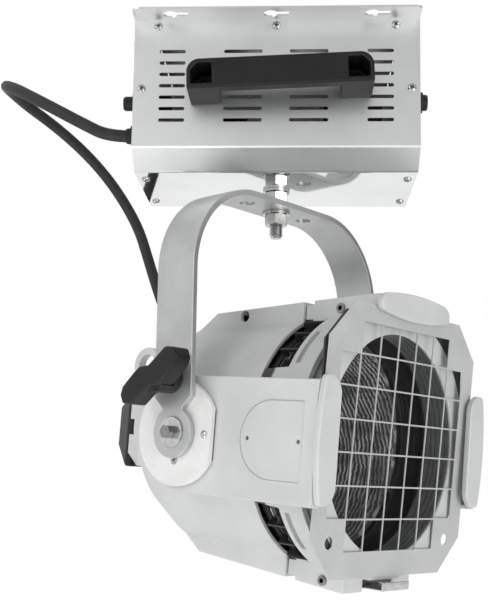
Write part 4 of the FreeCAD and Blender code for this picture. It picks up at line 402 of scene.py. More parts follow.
@dataclass(frozen=True)
class Paper:
    """Floor paper: white where it is seen, in metal and in glass too, and pale to the lamps.

    Attributes:
        name: material and process.
        pale: hex colour that the lamps light.
    """

    name: str = "paper_floor_matt"
    pale: str = "#e6e6e6"

    def surface(self, tree: Tree) -> Link:
        """Builds the shader.

        Args:
            tree: the material's tree, empty.

        Returns:
            Its output.
        """
        rays = add(tree, "LightPath")
        seen: Link = (rays, "Is Camera Ray")
        for ray in ("Is Transmission Ray", "Is Glossy Ray"):
            seen = (add(tree, "Math", {0: seen, 1: (rays, ray)}, operation="MAXIMUM"), "Value")
        plain = add(tree, "BsdfDiffuse", {"Color": linear(self.pale)})
        white = add(tree, "Emission", {"Color": linear("#ffffff"), "Strength": 1.0})
        return (add(tree, "MixShader", {0: seen, 1: (plain, "BSDF"), 2: (white, "Emission")}), "Shader")


Dress = Union[Finish, Fluted, Glass, Paper]

# Cold-rolled stainless sheet, satin: wide soft gradients, near white where it faces the floor.
STAINLESS = Finish("stainless_sheet_satin", "#dcdede", "#e9eaea", metallic=1.0, roughness=0.37,
                   rough_swing=0.025, patch_mm=90, grit_mm=0.6, relief_mm=0.0, grain=Grain.ALONG_X,
                   polished=(-127.2, 0.06))
# Mild steel bar, satin zinc: soft grey, faintly clouded.
YOKE_ZINC = Finish("steel_bar_satin_zinc", "#b3b5b4", "#bfc1c0", metallic=0.7, roughness=0.4,
                   patch_mm=26, grit_mm=0.7, relief_mm=0.008)
# Turned steel, bright zinc: small fittings with quick, hard highlights.
ZINC = Finish("steel_bright_zinc", "#b4b5b3", "#c8c9c7", metallic=1.0, roughness=0.24,
              rough_swing=0.05, patch_mm=5, grit_mm=0.5, relief_mm=0.004)
# Turned steel, zinc, darker and duller than the bright zinc: the pivots.
DULL_ZINC = Finish("steel_dull_zinc", "#7f807d", "#989994", metallic=0.9, roughness=0.36,
                   rough_swing=0.06, patch_mm=4, grit_mm=0.5, relief_mm=0.01)
# Nickel-plated screws: near mirror, so the cross reads dark against bright.
NICKEL = Finish("steel_screw_nickel", "#a5a6a4", "#b9bab8", metallic=1.0, roughness=0.2,
                rough_swing=0.05, patch_mm=2, grit_mm=0.4, relief_mm=0.002)
# Inside a driven recess: nearly black, painted shade where the cross and the socket lie in shadow.
RECESS_SHADE = Finish("steel_recess_painted_shade", "#0d0d0d", "#1a1a19", metallic=0.3, roughness=0.7,
                patch_mm=1, grit_mm=0.4, relief_mm=0.01)
# Die-cast aluminium, light grey powder coat: fine orange peel, dull sheen.
POWDER = Finish("aluminium_casting_powder_coat", "#cbcdcc", "#d5d7d6", roughness=0.46,
                patch_mm=45, grit_mm=0.9, relief_mm=0.012)
# The same coat outside; inside the vent trench the colour is darkened to paint the shade that falls
# there.
VENTED = replace(POWDER, name="aluminium_casting_powder_coat_trench_shade", trench=("#242625", 105.3, 89.0))
# Punched steel sheet, stoved light grey paint: flatter and a little darker than the castings.
PAINTED = Finish("steel_sheet_stoved_paint", "#bbbdbc", "#c5c7c6", roughness=0.45, patch_mm=30,
                 grit_mm=0.7, relief_mm=0.008)
# Friction disc, white zinc plate: near-white colour, partly its plating and partly painted reflection
# of the bright surroundings; the brightest face on the head.
DISC = Finish("steel_disc_plate_painted_reflection", "#e6e6e5", "#f0f0ef", metallic=0.15, roughness=0.34,
              patch_mm=18, grit_mm=0.5, relief_mm=0.004)
# Nylon, injection moulded, black: satin, with a faint spark-eroded texture.
BLACK = Finish("nylon_moulded_black", "#131414", "#1a1b1b", roughness=0.5, patch_mm=20,
               grit_mm=0.5, relief_mm=0.012, shine=0.3)
# Nylon, injection moulded, dark grey: a shade softer than the black, with the same texture.
DARK_GREY = Finish("nylon_moulded_dark_grey", "#131514", "#1b1d1c", roughness=0.46, patch_mm=16,
                   grit_mm=0.5, relief_mm=0.012, shine=0.3)
# Rubber sheath, extruded: matt, slightly dusty.
RUBBER = Finish("rubber_sheath_extruded", "#161717", "#232424", roughness=0.62, patch_mm=12,
                grit_mm=0.6, relief_mm=0.01)
# Steel baffle, heat-resistant black paint: dead matt, so the vents look deep.
SOOT = Finish("steel_baffle_black_paint", "#0c0c0c", "#141414", roughness=0.6, patch_mm=20,
              grit_mm=0.8, relief_mm=0.01)
# A dark grey that paints the shade in the gap behind the guard, on the flange put there to carry it.
SHADE = Finish("steel_flange_painted_shade", "#333534", "#3e403f", roughness=0.6, patch_mm=20,
               grit_mm=0.8, relief_mm=0.01)
# Lens ring, steel, grey heat-resistant paint: its turned grooves catch thin lines of light.
RING_GREY = Finish("steel_ring_grey_paint", "#7a7d7c", "#888b8a", metallic=0.5, roughness=0.34,
                   patch_mm=20, grit_mm=0.6, relief_mm=0.01)
# Spring steel strip, bright: clean hard reflections along its bends.
SPRING = Finish("spring_steel_bright", "#c4c5c4", "#dfe0df", metallic=1.0, roughness=0.22,
                patch_mm=8, grit_mm=0.4, relief_mm=0.004)
# Pressed fibre washer board: dull brown and rough at its edge.
FIBRE = Finish("fibre_pressed", "#5b554b", "#6e675b", roughness=0.85, patch_mm=3, grit_mm=0.5,
               relief_mm=0.03)
# Glazed ceramic: off-white under a wet-looking gloss.
CERAMIC = Finish("ceramic_glazed", "#d9d5c9", "#e4e1d8", roughness=0.25, patch_mm=10, grit_mm=0.8,
                 relief_mm=0.01, coat=0.4)
# Transformer laminations, varnished: dark brown with a greasy sheen.
CORE = Finish("steel_laminations_varnished", "#2a2927", "#3a3936", metallic=0.4, roughness=0.45,
              patch_mm=12, grit_mm=0.6, relief_mm=0.02)
# Enamelled copper winding: red-brown, with a warm shine.
COPPER = Finish("copper_wire_enamelled", "#7a3d20", "#985233", metallic=0.5, roughness=0.35,
                patch_mm=6, grit_mm=0.8, relief_mm=0.05)
# Drawn aluminium can: pale bare metal, faintly clouded.
CAN = Finish("aluminium_can_drawn", "#a9abac", "#bfc1c2", metallic=1.0, roughness=0.35, patch_mm=20)
# Nylon, injection moulded, dull red: the rocker of the switch, satin.
RED = Finish("nylon_moulded_red", "#7d2a22", "#8b3128", roughness=0.35, patch_mm=6)
# Spun aluminium, peened: a spiral of painted highlights on ripples, with painted shade between them in
# grey.
REFLECTOR = Fluted()
# Borosilicate lens, pressed and polished: nearly clear.
LENS_GLASS = Glass("borosilicate_lens_pressed", "#f6f6f6")
# Quartz lamp envelope, frosted: milky, with a soft shine.
LAMP_GLASS = Glass("quartz_envelope_frosted", "#cfcfca", haze=0.3)


def material_of(finish: Dress) -> bpy.types.Material:
    """Makes a finish's material, or finds it where it is already made.

    Args:
        finish: the finish.

    Returns:
        Its material.
    """
    made = bpy.data.materials.get(finish.name)
    if not made:
        made = bpy.data.materials.new(finish.name)
        tree = blank(made)
        add(tree, "OutputMaterial", {"Surface": finish.surface(tree)})
    return made


def dress(piece: bpy.types.Object, finish: Dress) -> None:
    """Gives a piece one material in all its slots.

    Args:
        piece: the piece.
        finish: what it is dressed in.
    """
    material = material_of(finish)
    if not piece.material_slots:
        piece.data.materials.append(material)
    for slot in piece.material_slots:
        slot.material = material


# ------------------------------------------------------------------ meshes
def object_from(bm: BMesh, name: str) -> bpy.types.Object:
    """Puts a mesh in the making into the scene.

    Args:
        bm: the mesh; it is freed here.
        name: name of the object.

    Returns:
        The object.
    """
    mesh = bpy.data.meshes.new(name)
    bm.to_mesh(mesh)
    bm.free()
    made = bpy.data.objects.new(name, mesh)
    bpy.context.scene.collection.objects.link(made)
    return made


def folded(edge: bmesh.types.BMEdge, angle: float) -> bool:
    """Tells whether an edge's two faces meet at more than an angle."""
    return len(edge.link_faces) == 2 and edge.calc_face_angle(0.0) > angle


def smooth(bm: BMesh) -> None:
    """Shades a mesh smooth, apart from its folds and the borders of its broad flat faces.

    Args:
        bm: the mesh.
    """
    for face in bm.faces:
        face.smooth = True
    for edge in bm.edges:
        broad = any(len(face.verts) > BROAD for face in edge.link_faces)
        edge.smooth = not broad and not folded(edge, SHARP)


def piece_from(bm: BMesh, name: str, finish: Dress, node: str, place: Matrix = WORLD,
               flat: bool = False, extra: bool = False) -> bpy.types.Object:
    """Turns a mesh in the making into a finished piece that stands for a CAD node.

    Args:
        bm: the mesh; it is freed here.
        name: name of the piece.
        finish: what it is dressed in.
        node: the CAD node, whose body the piece takes.
        place: where the mesh's own frame lies.
        flat: True to keep its faces flat shaded.
        extra: True for a piece beside the node, which then stays.

    Returns:
        The piece.
    """
    bmesh.ops.transform(bm, matrix=place, verts=bm.verts)
    if not flat:
        smooth(bm)
    piece = object_from(bm, name)
    dress(piece, finish)
    if not flat:
        weighted = piece.modifiers.new("weighted", "WEIGHTED_NORMAL")
        weighted.keep_sharp = True
    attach(piece, frame["nodes"][node]["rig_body"])
    if not extra:
        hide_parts(node)
    log.info("%s: %d faces", name, len(piece.data.polygons))
    return piece


def merged(node: str) -> BMesh:
    """Copies a CAD node's mesh, merged, its flat areas cleaned into single faces.

    Args:
        node: the CAD node.

    Returns:
        The copy.
    """
    bm = bmesh.new()
    bm.from_mesh(frame["nodes"][node].data)
    bmesh.ops.remove_doubles(bm, verts=bm.verts, dist=2 * WELD)
    bmesh.ops.dissolve_limit(bm, angle_limit=FLAT, verts=bm.verts, edges=bm.edges)
    return bm


def lathe(profile: Sequence[Spot], steps: int, turns: int = 1,
          pitch_mm: float = 0.0) -> BMesh:
    """Turns a half profile about +Z, in a ring or down a helix.

    Args:
        profile: radius and height of each point in millimetres.
        steps: faces in a turn.
        turns: number of turns.
        pitch_mm: fall of the helix in a turn, 0 for a ring.

    Returns:
        The mesh.
    """
    bm = bmesh.new()
    line = [bm.verts.new((radius * MM, 0, height * MM)) for radius, height in profile]
    edges = [bm.edges.new(pair) for pair in zip(line, line[1:])]
    bmesh.ops.spin(bm, geom=line + edges, cent=(0, 0, 0), axis=(0, 0, 1),
                   dvec=(0, 0, -pitch_mm * MM / steps), angle=math.tau * turns,
                   steps=steps * turns, use_merge=not pitch_mm, use_duplicate=False)
    bmesh.ops.remove_doubles(bm, verts=bm.verts, dist=WELD)
    bmesh.ops.recalc_face_normals(bm, faces=bm.faces)
    return bm


def join(bm: BMesh, other: BMesh, place: Matrix = WORLD) -> None:
    """Adds a copy of another mesh to a mesh.

    Args:
        bm: the mesh that grows.
        other: the mesh that is copied.
        place: where the copy goes.
    """
    copy = bpy.data.meshes.new("copy")
    other.to_mesh(copy)
    copy.transform(place)
    bm.from_mesh(copy)
    bpy.data.meshes.remove(copy)


def bowed(corners: Sequence[Tuple[float, float, float, int]]) -> List[Spot]:
    """Draws an outline whose sides bow outwards.

    Args:
        corners: x and y of each corner, then the bow of the side that starts there and the
            number of its points.

    Returns:
        The points of the outline.
    """
    points = []
    for (ax, ay, rise, steps), (bx, by, _, _) in zip(corners, [*corners[1:], corners[0]]):
        chord = math.hypot(bx - ax, by - ay)
        nx, ny = (by - ay) / chord, -(bx - ax) / chord
        for index in range(steps):
            share = index / steps
            lift = 4 * rise * share * (1 - share)
            points.append((ax + (bx - ax) * share + nx * lift, ay + (by - ay) * share + ny * lift))
    return points


def hex_nut(flats_mm: float, high_mm: float, bore_mm: float) -> BMesh:
    """Makes a hexagon nut with both faces chamfered, standing on z = 0.

    Args:
        flats_mm: half the width across flats.
        high_mm: its height.
        bore_mm: bore radius.

    Returns:
        The mesh.
    """
    around, ease, chamfer, slack = 96, 0.6, 1.0, 0.01
    crown = 0.96 * flats_mm
    corner = flats_mm / math.cos(math.pi / 6)
    bm = lathe([(bore_mm, ease), (bore_mm + ease, 0), (crown, 0), (corner, chamfer),
                (corner, high_mm - chamfer), (crown, high_mm), (bore_mm + ease, high_mm),
                (bore_mm, high_mm - ease)], around)
    for vert in bm.verts:
        reach = math.hypot(vert.co.x, vert.co.y) / MM
        if reach > crown + slack:
            turn = math.atan2(vert.co.y, vert.co.x)
            flat = flats_mm / math.cos(turn % (math.pi / 3) - math.pi / 6)
            drop = (flat - crown) * math.tan(math.radians(30))
            vert.co.x *= flat / reach
            vert.co.y *= flat / reach
            vert.co.z = (drop if vert.co.z < high_mm * MM / 2 else high_mm - drop) * MM
    return bm


def thread(radius_mm: float, pitch_mm: float, long_mm: float) -> BMesh:
    """Makes a screw thread hanging down from z = 0, its lower end chamfered to a flat.

    Args:
        radius_mm: outer radius.
        pitch_mm: pitch.
        long_mm: length.

    Returns:
        The mesh.
    """
    around = 40
    deep, crest_start, crest_end = 0.72, 0.42, 0.55  # shares of the pitch
    over, chamfer, narrow = 0.1, 0.8, 0.6
    root = radius_mm - deep * pitch_mm
    bm = lathe([(root, 0), (radius_mm, -crest_start * pitch_mm), (radius_mm, -crest_end * pitch_mm),
                (root, -pitch_mm)], around, int(long_mm / pitch_mm) - 1, pitch_mm)
    top = 2 * over - long_mm + pitch_mm
    end = lathe([(0, top), (root + over, top), (root + over, -long_mm + chamfer),
                 (root - narrow, -long_mm), (0, -long_mm)], around)
    join(bm, end)
    end.free()
    bmesh.ops.recalc_face_normals(bm, faces=bm.faces)
    return bm


# ------------------------------------------------------------------ fittings
@dataclass(frozen=True)
class Eased:
    """A CAD node's shape with its hard edges eased, standing for the node.

    Attributes:
        node: the CAD node.
        finish: what it is dressed in.
        edge_mm: width of the eased edge.
        segments: faces across the eased edge.
        shortest_mm: edges no longer than this, as round a small hole, stay sharp.
    """

    node: str
    finish: Finish
    edge_mm: float
    segments: int = 2
    shortest_mm: float = 0.0

    def build(self) -> None:
        """Builds the piece."""
        bm = merged(self.node)
        hard = [edge for edge in bm.edges
                if folded(edge, HARD) and edge.calc_length() > self.shortest_mm * MM]
        bmesh.ops.bevel(bm, geom=hard, offset=self.edge_mm * MM, offset_type="OFFSET",
                        segments=self.segments, profile=0.5, affect="EDGES", clamp_overlap=False,
                        material=-1, loop_slide=True)
        piece_from(bm, "eased_" + self.node, self.finish, self.node)


def islands(node: str, place: Matrix = WORLD) -> List[List[Vector]]:
    """Parts the separate solids of a CAD node, in the order of its mesh.

    Args:
        node: the CAD node.
        place: the frame that the points are given in.

    Returns:
        The points of each solid.
    """
    bm = merged(node)
    back = place.inverted() @ frame["nodes"][node].matrix_world
    left = set(bm.verts)
    found = []
    for first in bm.verts:
        if first not in left:
            continue
        left.remove(first)
        todo = [first]
        group = []
        while todo:
            vert = todo.pop()
            group.append(back @ vert.co)
            for other in (edge.other_vert(vert) for edge in vert.link_edges):
                if other in left:
                    left.remove(other)
                    todo.append(other)
        found.append(group)
    bm.free()
    return found


def seats(node: str, place: Matrix) -> List[Tuple[Matrix, float]]:
    """Finds where the heads of a node's screws lie.

    Args:
        node: a CAD node of straight screws that lie along an axis of the frame.
        place: that frame.

    Returns:
        For each screw a place with +Z out of its head at the outer face, and the screw's length.
    """
    near_mm = 0.2
    spots = []
    for points in islands(node, place):
        low = [min(p[i] for p in points) for i in range(3)]
        high = [max(p[i] for p in points) for i in range(3)]
        along = max(range(3), key=lambda i: high[i] - low[i])
        middle = Vector([(a + b) / 2 for a, b in zip(low, high)])

        def reach(level: float) -> float:
            """Measures the largest distance from the screw's line at one of its ends."""
            return max(math.hypot(*((p - middle)[i] for i in range(3) if i != along))
                       for p in points if abs(p[along] - level) < near_mm * MM)

        outward = 1 if reach(high[along]) > reach(low[along]) else -1
        middle[along] = high[along] if outward > 0 else low[along]
        axis = Vector([outward if i == along else 0 for i in range(3)])
        turned = axis.to_track_quat("Z", "Y").to_matrix().to_4x4()
        spots.append((place @ Matrix.Translation(middle) @ turned, high[along] - low[along]))
    return spots


def cut_cross(bm: BMesh, reach_mm: float) -> BMesh:
    """Cuts a tapered cross recess into the top of a screw head.

    Args:
        bm: the head, its top near z = 0; it is freed here.
        reach_mm: half length of each arm of the cross.

    Returns:
        The cut mesh.
    """
    width_mm, deep_mm, over_mm = 0.42 * reach_mm, 0.65 * reach_mm, 0.6
    tool = bmesh.new()
    for turn in (0, 90):
        bar = bmesh.new()
        bmesh.ops.create_cube(bar, size=1.0)
        for vert in bar.verts:
            low = vert.co.z < 0
            vert.co.x *= reach_mm * MM * (0.7 if low else 2.0)
            vert.co.y *= width_mm * MM * (0.55 if low else 1.0)
            vert.co.z = -deep_mm * MM if low else over_mm * MM
        join(tool, bar, Matrix.Rotation(math.radians(turn), 4, "Z"))
        bar.free()
    parts = [object_from(mesh, name) for name, mesh in (("head", bm), ("tool", tool))]
    cut = parts[0].modifiers.new("cut", "BOOLEAN")
    cut.object = parts[1]
    cut.solver = "EXACT"
    cut.use_self = True
    out = bmesh.new()
    out.from_mesh(parts[0].evaluated_get(bpy.context.evaluated_depsgraph_get()).to_mesh())
    for data in [part.data for part in parts]:
        bpy.data.meshes.remove(data)
    return out


class Drive(Enum):
    """What is cut into a screw's head. Its value starts the name of the piece."""

    CROSS = "crossed_"
    SOCKET = "socketed_"


@dataclass(frozen=True)
class Screws:
    """Screws with painted shade in the recess of each head, standing for a CAD node of screws.

    Attributes:
        node: the CAD node.
        finish: what they are dressed in.
        radius_mm: head radius.
        high_mm: head height, 0 for a countersunk head.
        shank_mm: shank radius.
        drive_mm: half length of the cross, or radius of the socket.
        drive: what is cut into the heads.
        place: a frame that their lines are square to.
        around: faces around a screw.
    """

    node: str
    finish: Finish
    radius_mm: float
    high_mm: float
    shank_mm: float
    drive_mm: float
    drive: Drive = Drive.CROSS
    place: Matrix = field(default_factory=lambda: WORLD)
    around: int = 32

    def crossed(self, long_mm: float) -> BMesh:
        """Turns a screw with a cross in its domed or countersunk head.

        Args:
            long_mm: length of the screw.

        Returns:
            The mesh, with the second material, painted shade, in the cross.
        """
        radius, high, shank, cross = self.radius_mm, self.high_mm, self.shank_mm, self.drive_mm
        dome, sunk, rim = 0.75, 0.05, 0.2
        if high:
            head = [(radius * math.sin(a), -dome * high * (1 - math.cos(a)))
                    for a in (math.radians(d) for d in range(0, 91, 10))]
            head += [(radius, -high), (shank, -high)]
        else:
            head = [(0, -sunk), (radius - rim - sunk, -sunk), (radius, -rim), (shank, shank - radius)]
        bm = cut_cross(lathe([*head, (shank, -long_mm), (0, -long_mm)], self.around), cross)
        for face in bm.faces:
            middle = face.calc_center_median() / MM
            steep = face.normal.z < 0.3 or middle.z < -0.6 * cross
            if steep and math.hypot(middle.x, middle.y) < cross:
                face.material_index = 1 if middle.z > -cross else 0
        return bm

    def socketed(self, long_mm: float) -> BMesh:
        """Turns a screw with a deep round socket in its flat head.

        Args:
            long_mm: length of the screw.

        Returns:
            The mesh, with the second material, painted shade, in the socket.
        """
        radius, high, shank, socket = self.radius_mm, self.high_mm, self.shank_mm, self.drive_mm
        lip, rim, slack = 0.2, 0.5, 0.01
        floor = -high - 1.0
        bm = lathe([(0, floor), (socket, floor), (socket, -lip), (socket + lip, 0),
                    (radius - rim, 0), (radius, -rim), (radius, -high), (shank, -high),
                    (shank, -long_mm), (0, -long_mm)], self.around)
        for face in bm.faces:
            middle = face.calc_center_median() / MM
            inside = math.hypot(middle.x, middle.y) < socket + slack
            face.material_index = 1 if inside and floor - slack < middle.z < -lip / 2 else 0
        return bm

    def build(self) -> None:
        """Sets a screw at every seat, each cross turned its own way."""
        spots = seats(self.node, self.place)
        long_mm = spots[0][1] / MM
        one = self.crossed(long_mm) if self.drive is Drive.CROSS else self.socketed(long_mm)
        whole = bmesh.new()
        for index, (spot, _) in enumerate(spots):
            turn = 20 + 73 * index if self.drive is Drive.CROSS else 0
            join(whole, one, spot @ Matrix.Rotation(math.radians(turn), 4, "Z"))
        one.free()
        made = piece_from(whole, self.drive.value + self.node, self.finish, self.node)
        # The second material paints shade into the recesses.
        made.data.materials.append(material_of(RECESS_SHADE))


# ------------------------------------------------------------------ studio
@dataclass
class Studio:
    """Camera, floor, world and lamps.

    Attributes:
        place: camera position.
        yaw: turn of the view to the right of +Y, degrees.
        pitch: rise of the view, degrees.
        roll: roll of the camera, degrees.
        focal: focal length over the long side of the frame.
        middle: where the optical axis meets the frame.
        size: width and height of the frame.
        film_mm: sensor width.
        floor_half: half the side of the floor.
        floor_place: its middle.
        lamps: name, place, aim, side and power in watts of each square soft lamp.
    """

    place: Point = (0.0197, -0.9623, -0.3991)
    yaw: float = -3.45
    pitch: float = 8.13
    roll: float = 1.02
    focal: float = 1104.8
    middle: Spot = (231.1, 337.2)
    size: Tuple[int, int] = (488, 600)
    film_mm: float = 36.0
    floor_half: float = 6.0
    floor_place: Point = (0, 2.0, -1.25)
    lamps: Tuple[Tuple[str, Point, Point, float, float], ...] = (
        ("key", (-1.3, -1.5, 0.5), (0, 0, -0.25), 0.9, 7.0),
        ("fill", (1.2, -1.3, -0.8), (0, 0, -0.3), 1.0, 12.0),
        ("low", (-0.45, -0.5, -1.15), (0, 0, -0.3), 0.8, 5.0))

    def camera(self) -> None:
        """Makes the camera at the viewing angle."""
        lens = bpy.data.cameras.new("camera")
        width, height = self.size
        lens.sensor_fit = "AUTO"
        lens.sensor_width = self.film_mm
        lens.lens = self.focal * self.film_mm / height
        lens.shift_x = (width / 2 - self.middle[0]) / height
        lens.shift_y = (self.middle[1] - height / 2) / height
        lens.clip_start = 0.01
        lens.dof.use_dof = False
        yaw, pitch, roll = (math.radians(a) for a in (self.yaw, self.pitch, self.roll))
        ahead = Vector((math.sin(yaw) * math.cos(pitch), math.cos(yaw) * math.cos(pitch),
                        math.sin(pitch)))
        right = Vector((math.cos(yaw), -math.sin(yaw), 0))
        above = right.cross(ahead)
        across = math.cos(roll) * right + math.sin(roll) * above
        upward = -math.sin(roll) * right + math.cos(roll) * above
        turned = Matrix((across, upward, -ahead)).transposed().to_4x4()
        eye = bpy.data.objects.new("camera", lens)
        eye.matrix_world = Matrix.Translation(self.place) @ turned
        bpy.context.scene.collection.objects.link(eye)
        bpy.context.scene.camera = eye

    def floor(self) -> None:
        """Lays a pale floor well below the hanging object."""
        bm = bmesh.new()
        bmesh.ops.create_grid(bm, x_segments=4, y_segments=4, size=self.floor_half)
        bmesh.ops.translate(bm, vec=self.floor_place, verts=bm.verts)
        floor = object_from(bm, "floor")
        dress(floor, Paper())

    def world(self) -> None:
        """Lights from white, and shows metal a greyer front above and a dark card on the right."""
        world = bpy.data.worlds.new("studio")
        bpy.context.scene.world = world
        tree = blank(world)
        white = linear("#ffffff")
        rays = add(tree, "LightPath")
        where = add(tree, "TexCoord")
        parts = add(tree, "SeparateXYZ", {0: (where, "Generated")})
        front, high, right, back = (
            add(tree, "MapRange", {"Value": (parts, axis), "From Min": none, "From Max": full},
                interpolation_type="SMOOTHSTEP")
            for axis, none, full in (("Y", -0.1, -0.9), ("Z", -0.2, 0.75), ("X", 0.55, 0.85),
                                     ("Y", -0.3, 0.0)))
        grey, card = (
            add(tree, "Math", {0: (first, "Result"), 1: (second, "Result")}, operation="MULTIPLY")
            for first, second in ((front, high), (right, back)))
        shade = add(tree, "ValToRGB", {0: (grey, "Value")}, stops=[(0.0, "#ffffff"), (1.0, "#a4a4a4")])
        carded = add(tree, "Mix", {"Factor": (card, "Value"), 6: (shade, "Color"),
                                   7: linear("#0e0e0e")}, data_type="RGBA")
        shown, lit, plain = (
            add(tree, "Background", {"Color": colour, "Strength": strength})
            for colour, strength in (((carded, 2), 1.0), (white, 0.6), (white, 1.0)))
        mirror = add(tree, "Math", {0: (rays, "Is Glossy Ray"), 1: (rays, "Is Transmission Ray")},
                     operation="MAXIMUM")
        first = add(tree, "MixShader", {
            0: (mirror, "Value"), 1: (lit, "Background"), 2: (shown, "Background")})
        second = add(tree, "MixShader", {
            0: (rays, "Is Camera Ray"), 1: (first, "Shader"), 2: (plain, "Background")})
        add(tree, "OutputWorld", {"Surface": (second, "Shader")})

    def lamp(self, name: str, place: Point, aim: Point, size: float, power: float) -> None:
        """Hangs a square soft lamp.

        Args:
            name: name of the lamp.
            place: its position.
            aim: what it points at.
            size: side of its square.
            power: its power in watts.
        """
        light = bpy.data.lights.new(name, "AREA")
        light.size = size
        light.energy = power
        lamp = bpy.data.objects.new(name, light)
        ahead = Vector(aim) - Vector(place)
        lamp.rotation_euler = ahead.to_track_quat("-Z", "Y").to_euler()
        lamp.location = place
        bpy.context.scene.collection.objects.link(lamp)

    def build(self) -> None:
        """Makes the whole studio."""
        self.camera()
        self.floor()
        self.world()
        for lamp in self.lamps:
            self.lamp(*lamp)
        bpy.context.scene.view_settings.view_transform = "Standard"


# ------------------------------------------------------------------ lamp cable
@dataclass
class LampCable:
    """Rubber cable from the gland of the box to the gland of the head.

    It is cut at the parting into an upper and a lower stretch, each its own piece.

    Attributes:
        width: its diameter.
        parting: height at which the two stretches meet.
        pan_start: not used.
        pan_end: not used.
        route: control points of its line.
    """

    width: float = 0.0105
    parting: float = -0.165
    pan_start: Point = (-0.2, 0.09, 0.0352)
    pan_end: Point = (-0.2, 0.2006, -0.0871)
    route: Tuple[Point, ...] = (
        (-0.124, -0.055, -0.096), (-0.144, -0.055, -0.096), (-0.167, -0.054, -0.084),
        (-0.191, -0.049, -0.070), (-0.213, -0.039, -0.056), (-0.233, -0.024, -0.042),
        (-0.248, -0.004, -0.031), (-0.256, 0.020, -0.022), (-0.255, 0.046, -0.020),
        (-0.246, 0.071, -0.024), (-0.230, 0.092, -0.032), (-0.210, 0.108, -0.046),
        (-0.190, 0.118, -0.064), (-0.171, 0.122, -0.086), (-0.154, 0.123, -0.111),
        (-0.140, 0.120, -0.137), (-0.130, 0.114, -0.166), (-0.120, 0.106, -0.195),
        (-0.1095, 0.0985, -0.2225), (-0.09615, 0.08966, -0.25076), (-0.08407, 0.080154, -0.272961))

    def line(self) -> Tuple[List[Vector], BMesh]:
        """Makes the line of the cable and the tube along it.

        Returns:
            The points that the tube follows, and the tube.
        """
        curve = bpy.data.curves.new("cable_line", "CURVE")
        curve.dimensions = "3D"
        line = curve.splines.new("NURBS")
        line.points.add(len(self.route) - 1)
        for point, place in zip(line.points, self.route):
            point.co = (*place, 1.0)
        line.order_u = 3
        line.use_endpoint_u = True
        line.resolution_u = 8
        holder = bpy.data.objects.new("cable_line", curve)
        wire = bpy.data.meshes.new_from_object(holder)
        path = [vert.co.copy() for vert in wire.vertices]
        curve.bevel_depth = self.width / 2
        curve.bevel_resolution = 6
        curve.use_fill_caps = True
        tube = bmesh.new()
        tube.from_mesh(bpy.data.meshes.new_from_object(holder))
        bmesh.ops.remove_doubles(tube, verts=tube.verts, dist=WELD)
        bpy.data.objects.remove(holder)
        return path, tube

    def stretch(self, name: str, tube: BMesh, path: Sequence[Vector], first: int,
                last: int) -> bpy.types.Object:
        """Args:
            name: name of the piece.
            tube: the whole tube.
            path: the whole line.
            first: number of the line's point where the stretch starts.
            last: number of the point where it ends.

        Returns:
            The piece, not yet on a body.
        """
        part = tube.copy()
        ring = {vert: min(range(len(path)), key=lambda i: (path[i] - vert.co).length_squared)
                for vert in part.verts}
        gone = [face for face in part.faces
                if not all(first <= ring[vert] <= last for vert in face.verts)]
        bmesh.ops.delete(part, geom=gone, context="FACES")
        bmesh.ops.holes_fill(part, edges=part.edges, sides=0)
        bmesh.ops.recalc_face_normals(part, faces=part.faces)
        smooth(part)
        piece = object_from(part, name)
        dress(piece, RUBBER)
        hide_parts("lamp_cable")
        return piece

    def build(self) -> None:
        """Makes both stretches."""
        path, tube = self.line()
        falling = range(len(path) // 2, len(path))
        meet = min(falling, key=lambda i: abs(path[i].z - self.parting))
        upper = self.stretch("rubber_cable_upper", tube, path, 0, meet)
        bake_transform(upper)
        lower = self.stretch("rubber_cable_lower", tube, path, meet, len(path) - 1)
        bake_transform(lower)
        tube.free()


# ------------------------------------------------------------------ sub-assemblies
Kept = Dict[str, Dress]
Fittings = Tuple[Union[Eased, Screws], ...]


@dataclass
class Assembly:
    """Pieces that belong together.

    Attributes:
        kept: the finish of each CAD node that keeps its shape.
        fittings: the pieces that stand for other nodes and need nothing else, in order.
    """

    kept: Kept = field(default_factory=dict)
    fittings: Fittings = ()

    def build(self) -> None:
        """Dresses what is kept and builds the fittings."""
        for node, finish in self.kept.items():
            dress(frame["nodes"][node], finish)
        for fitting in self.fittings:
            fitting.build()


@dataclass
class BallastBox(Assembly):
    """Folded sheet box with its handle, fittings and gear."""

    kept: Kept = field(default_factory=lambda: {
        "ballast_housing": STAINLESS, "ballast_lid": STAINLESS, "ballast_end_left": STAINLESS,
        "ballast_end_right": STAINLESS, "rocker_switch": BLACK, "rocker": RED,
        "fuse_holder": BLACK, "fuse_cap": BLACK, "fuse_link": LAMP_GLASS,
        "choke_core": CORE, "choke_coil": COPPER, "capacitor": CAN, "ignitor": DARK_GREY,
        "terminal_block": CERAMIC, "backing_plate": ZINC, "handle_nuts": ZINC})
    fittings: Fittings = (
        Eased("carry_handle", BLACK, 1.3, segments=3),
        Screws("handle_screws", ZINC, 4.5, 2.7, 2.5, 2.6, place=HANDLE),
        Screws("panel_screws", NICKEL, 3.6, 2.2, 1.9, 2.5),
        Screws("bottom_screws", NICKEL, 3.6, 2.2, 1.9, 2.5),
        Eased("lamp_cable_gland", BLACK, 0.4),
        Eased("mains_gland", BLACK, 0.4))


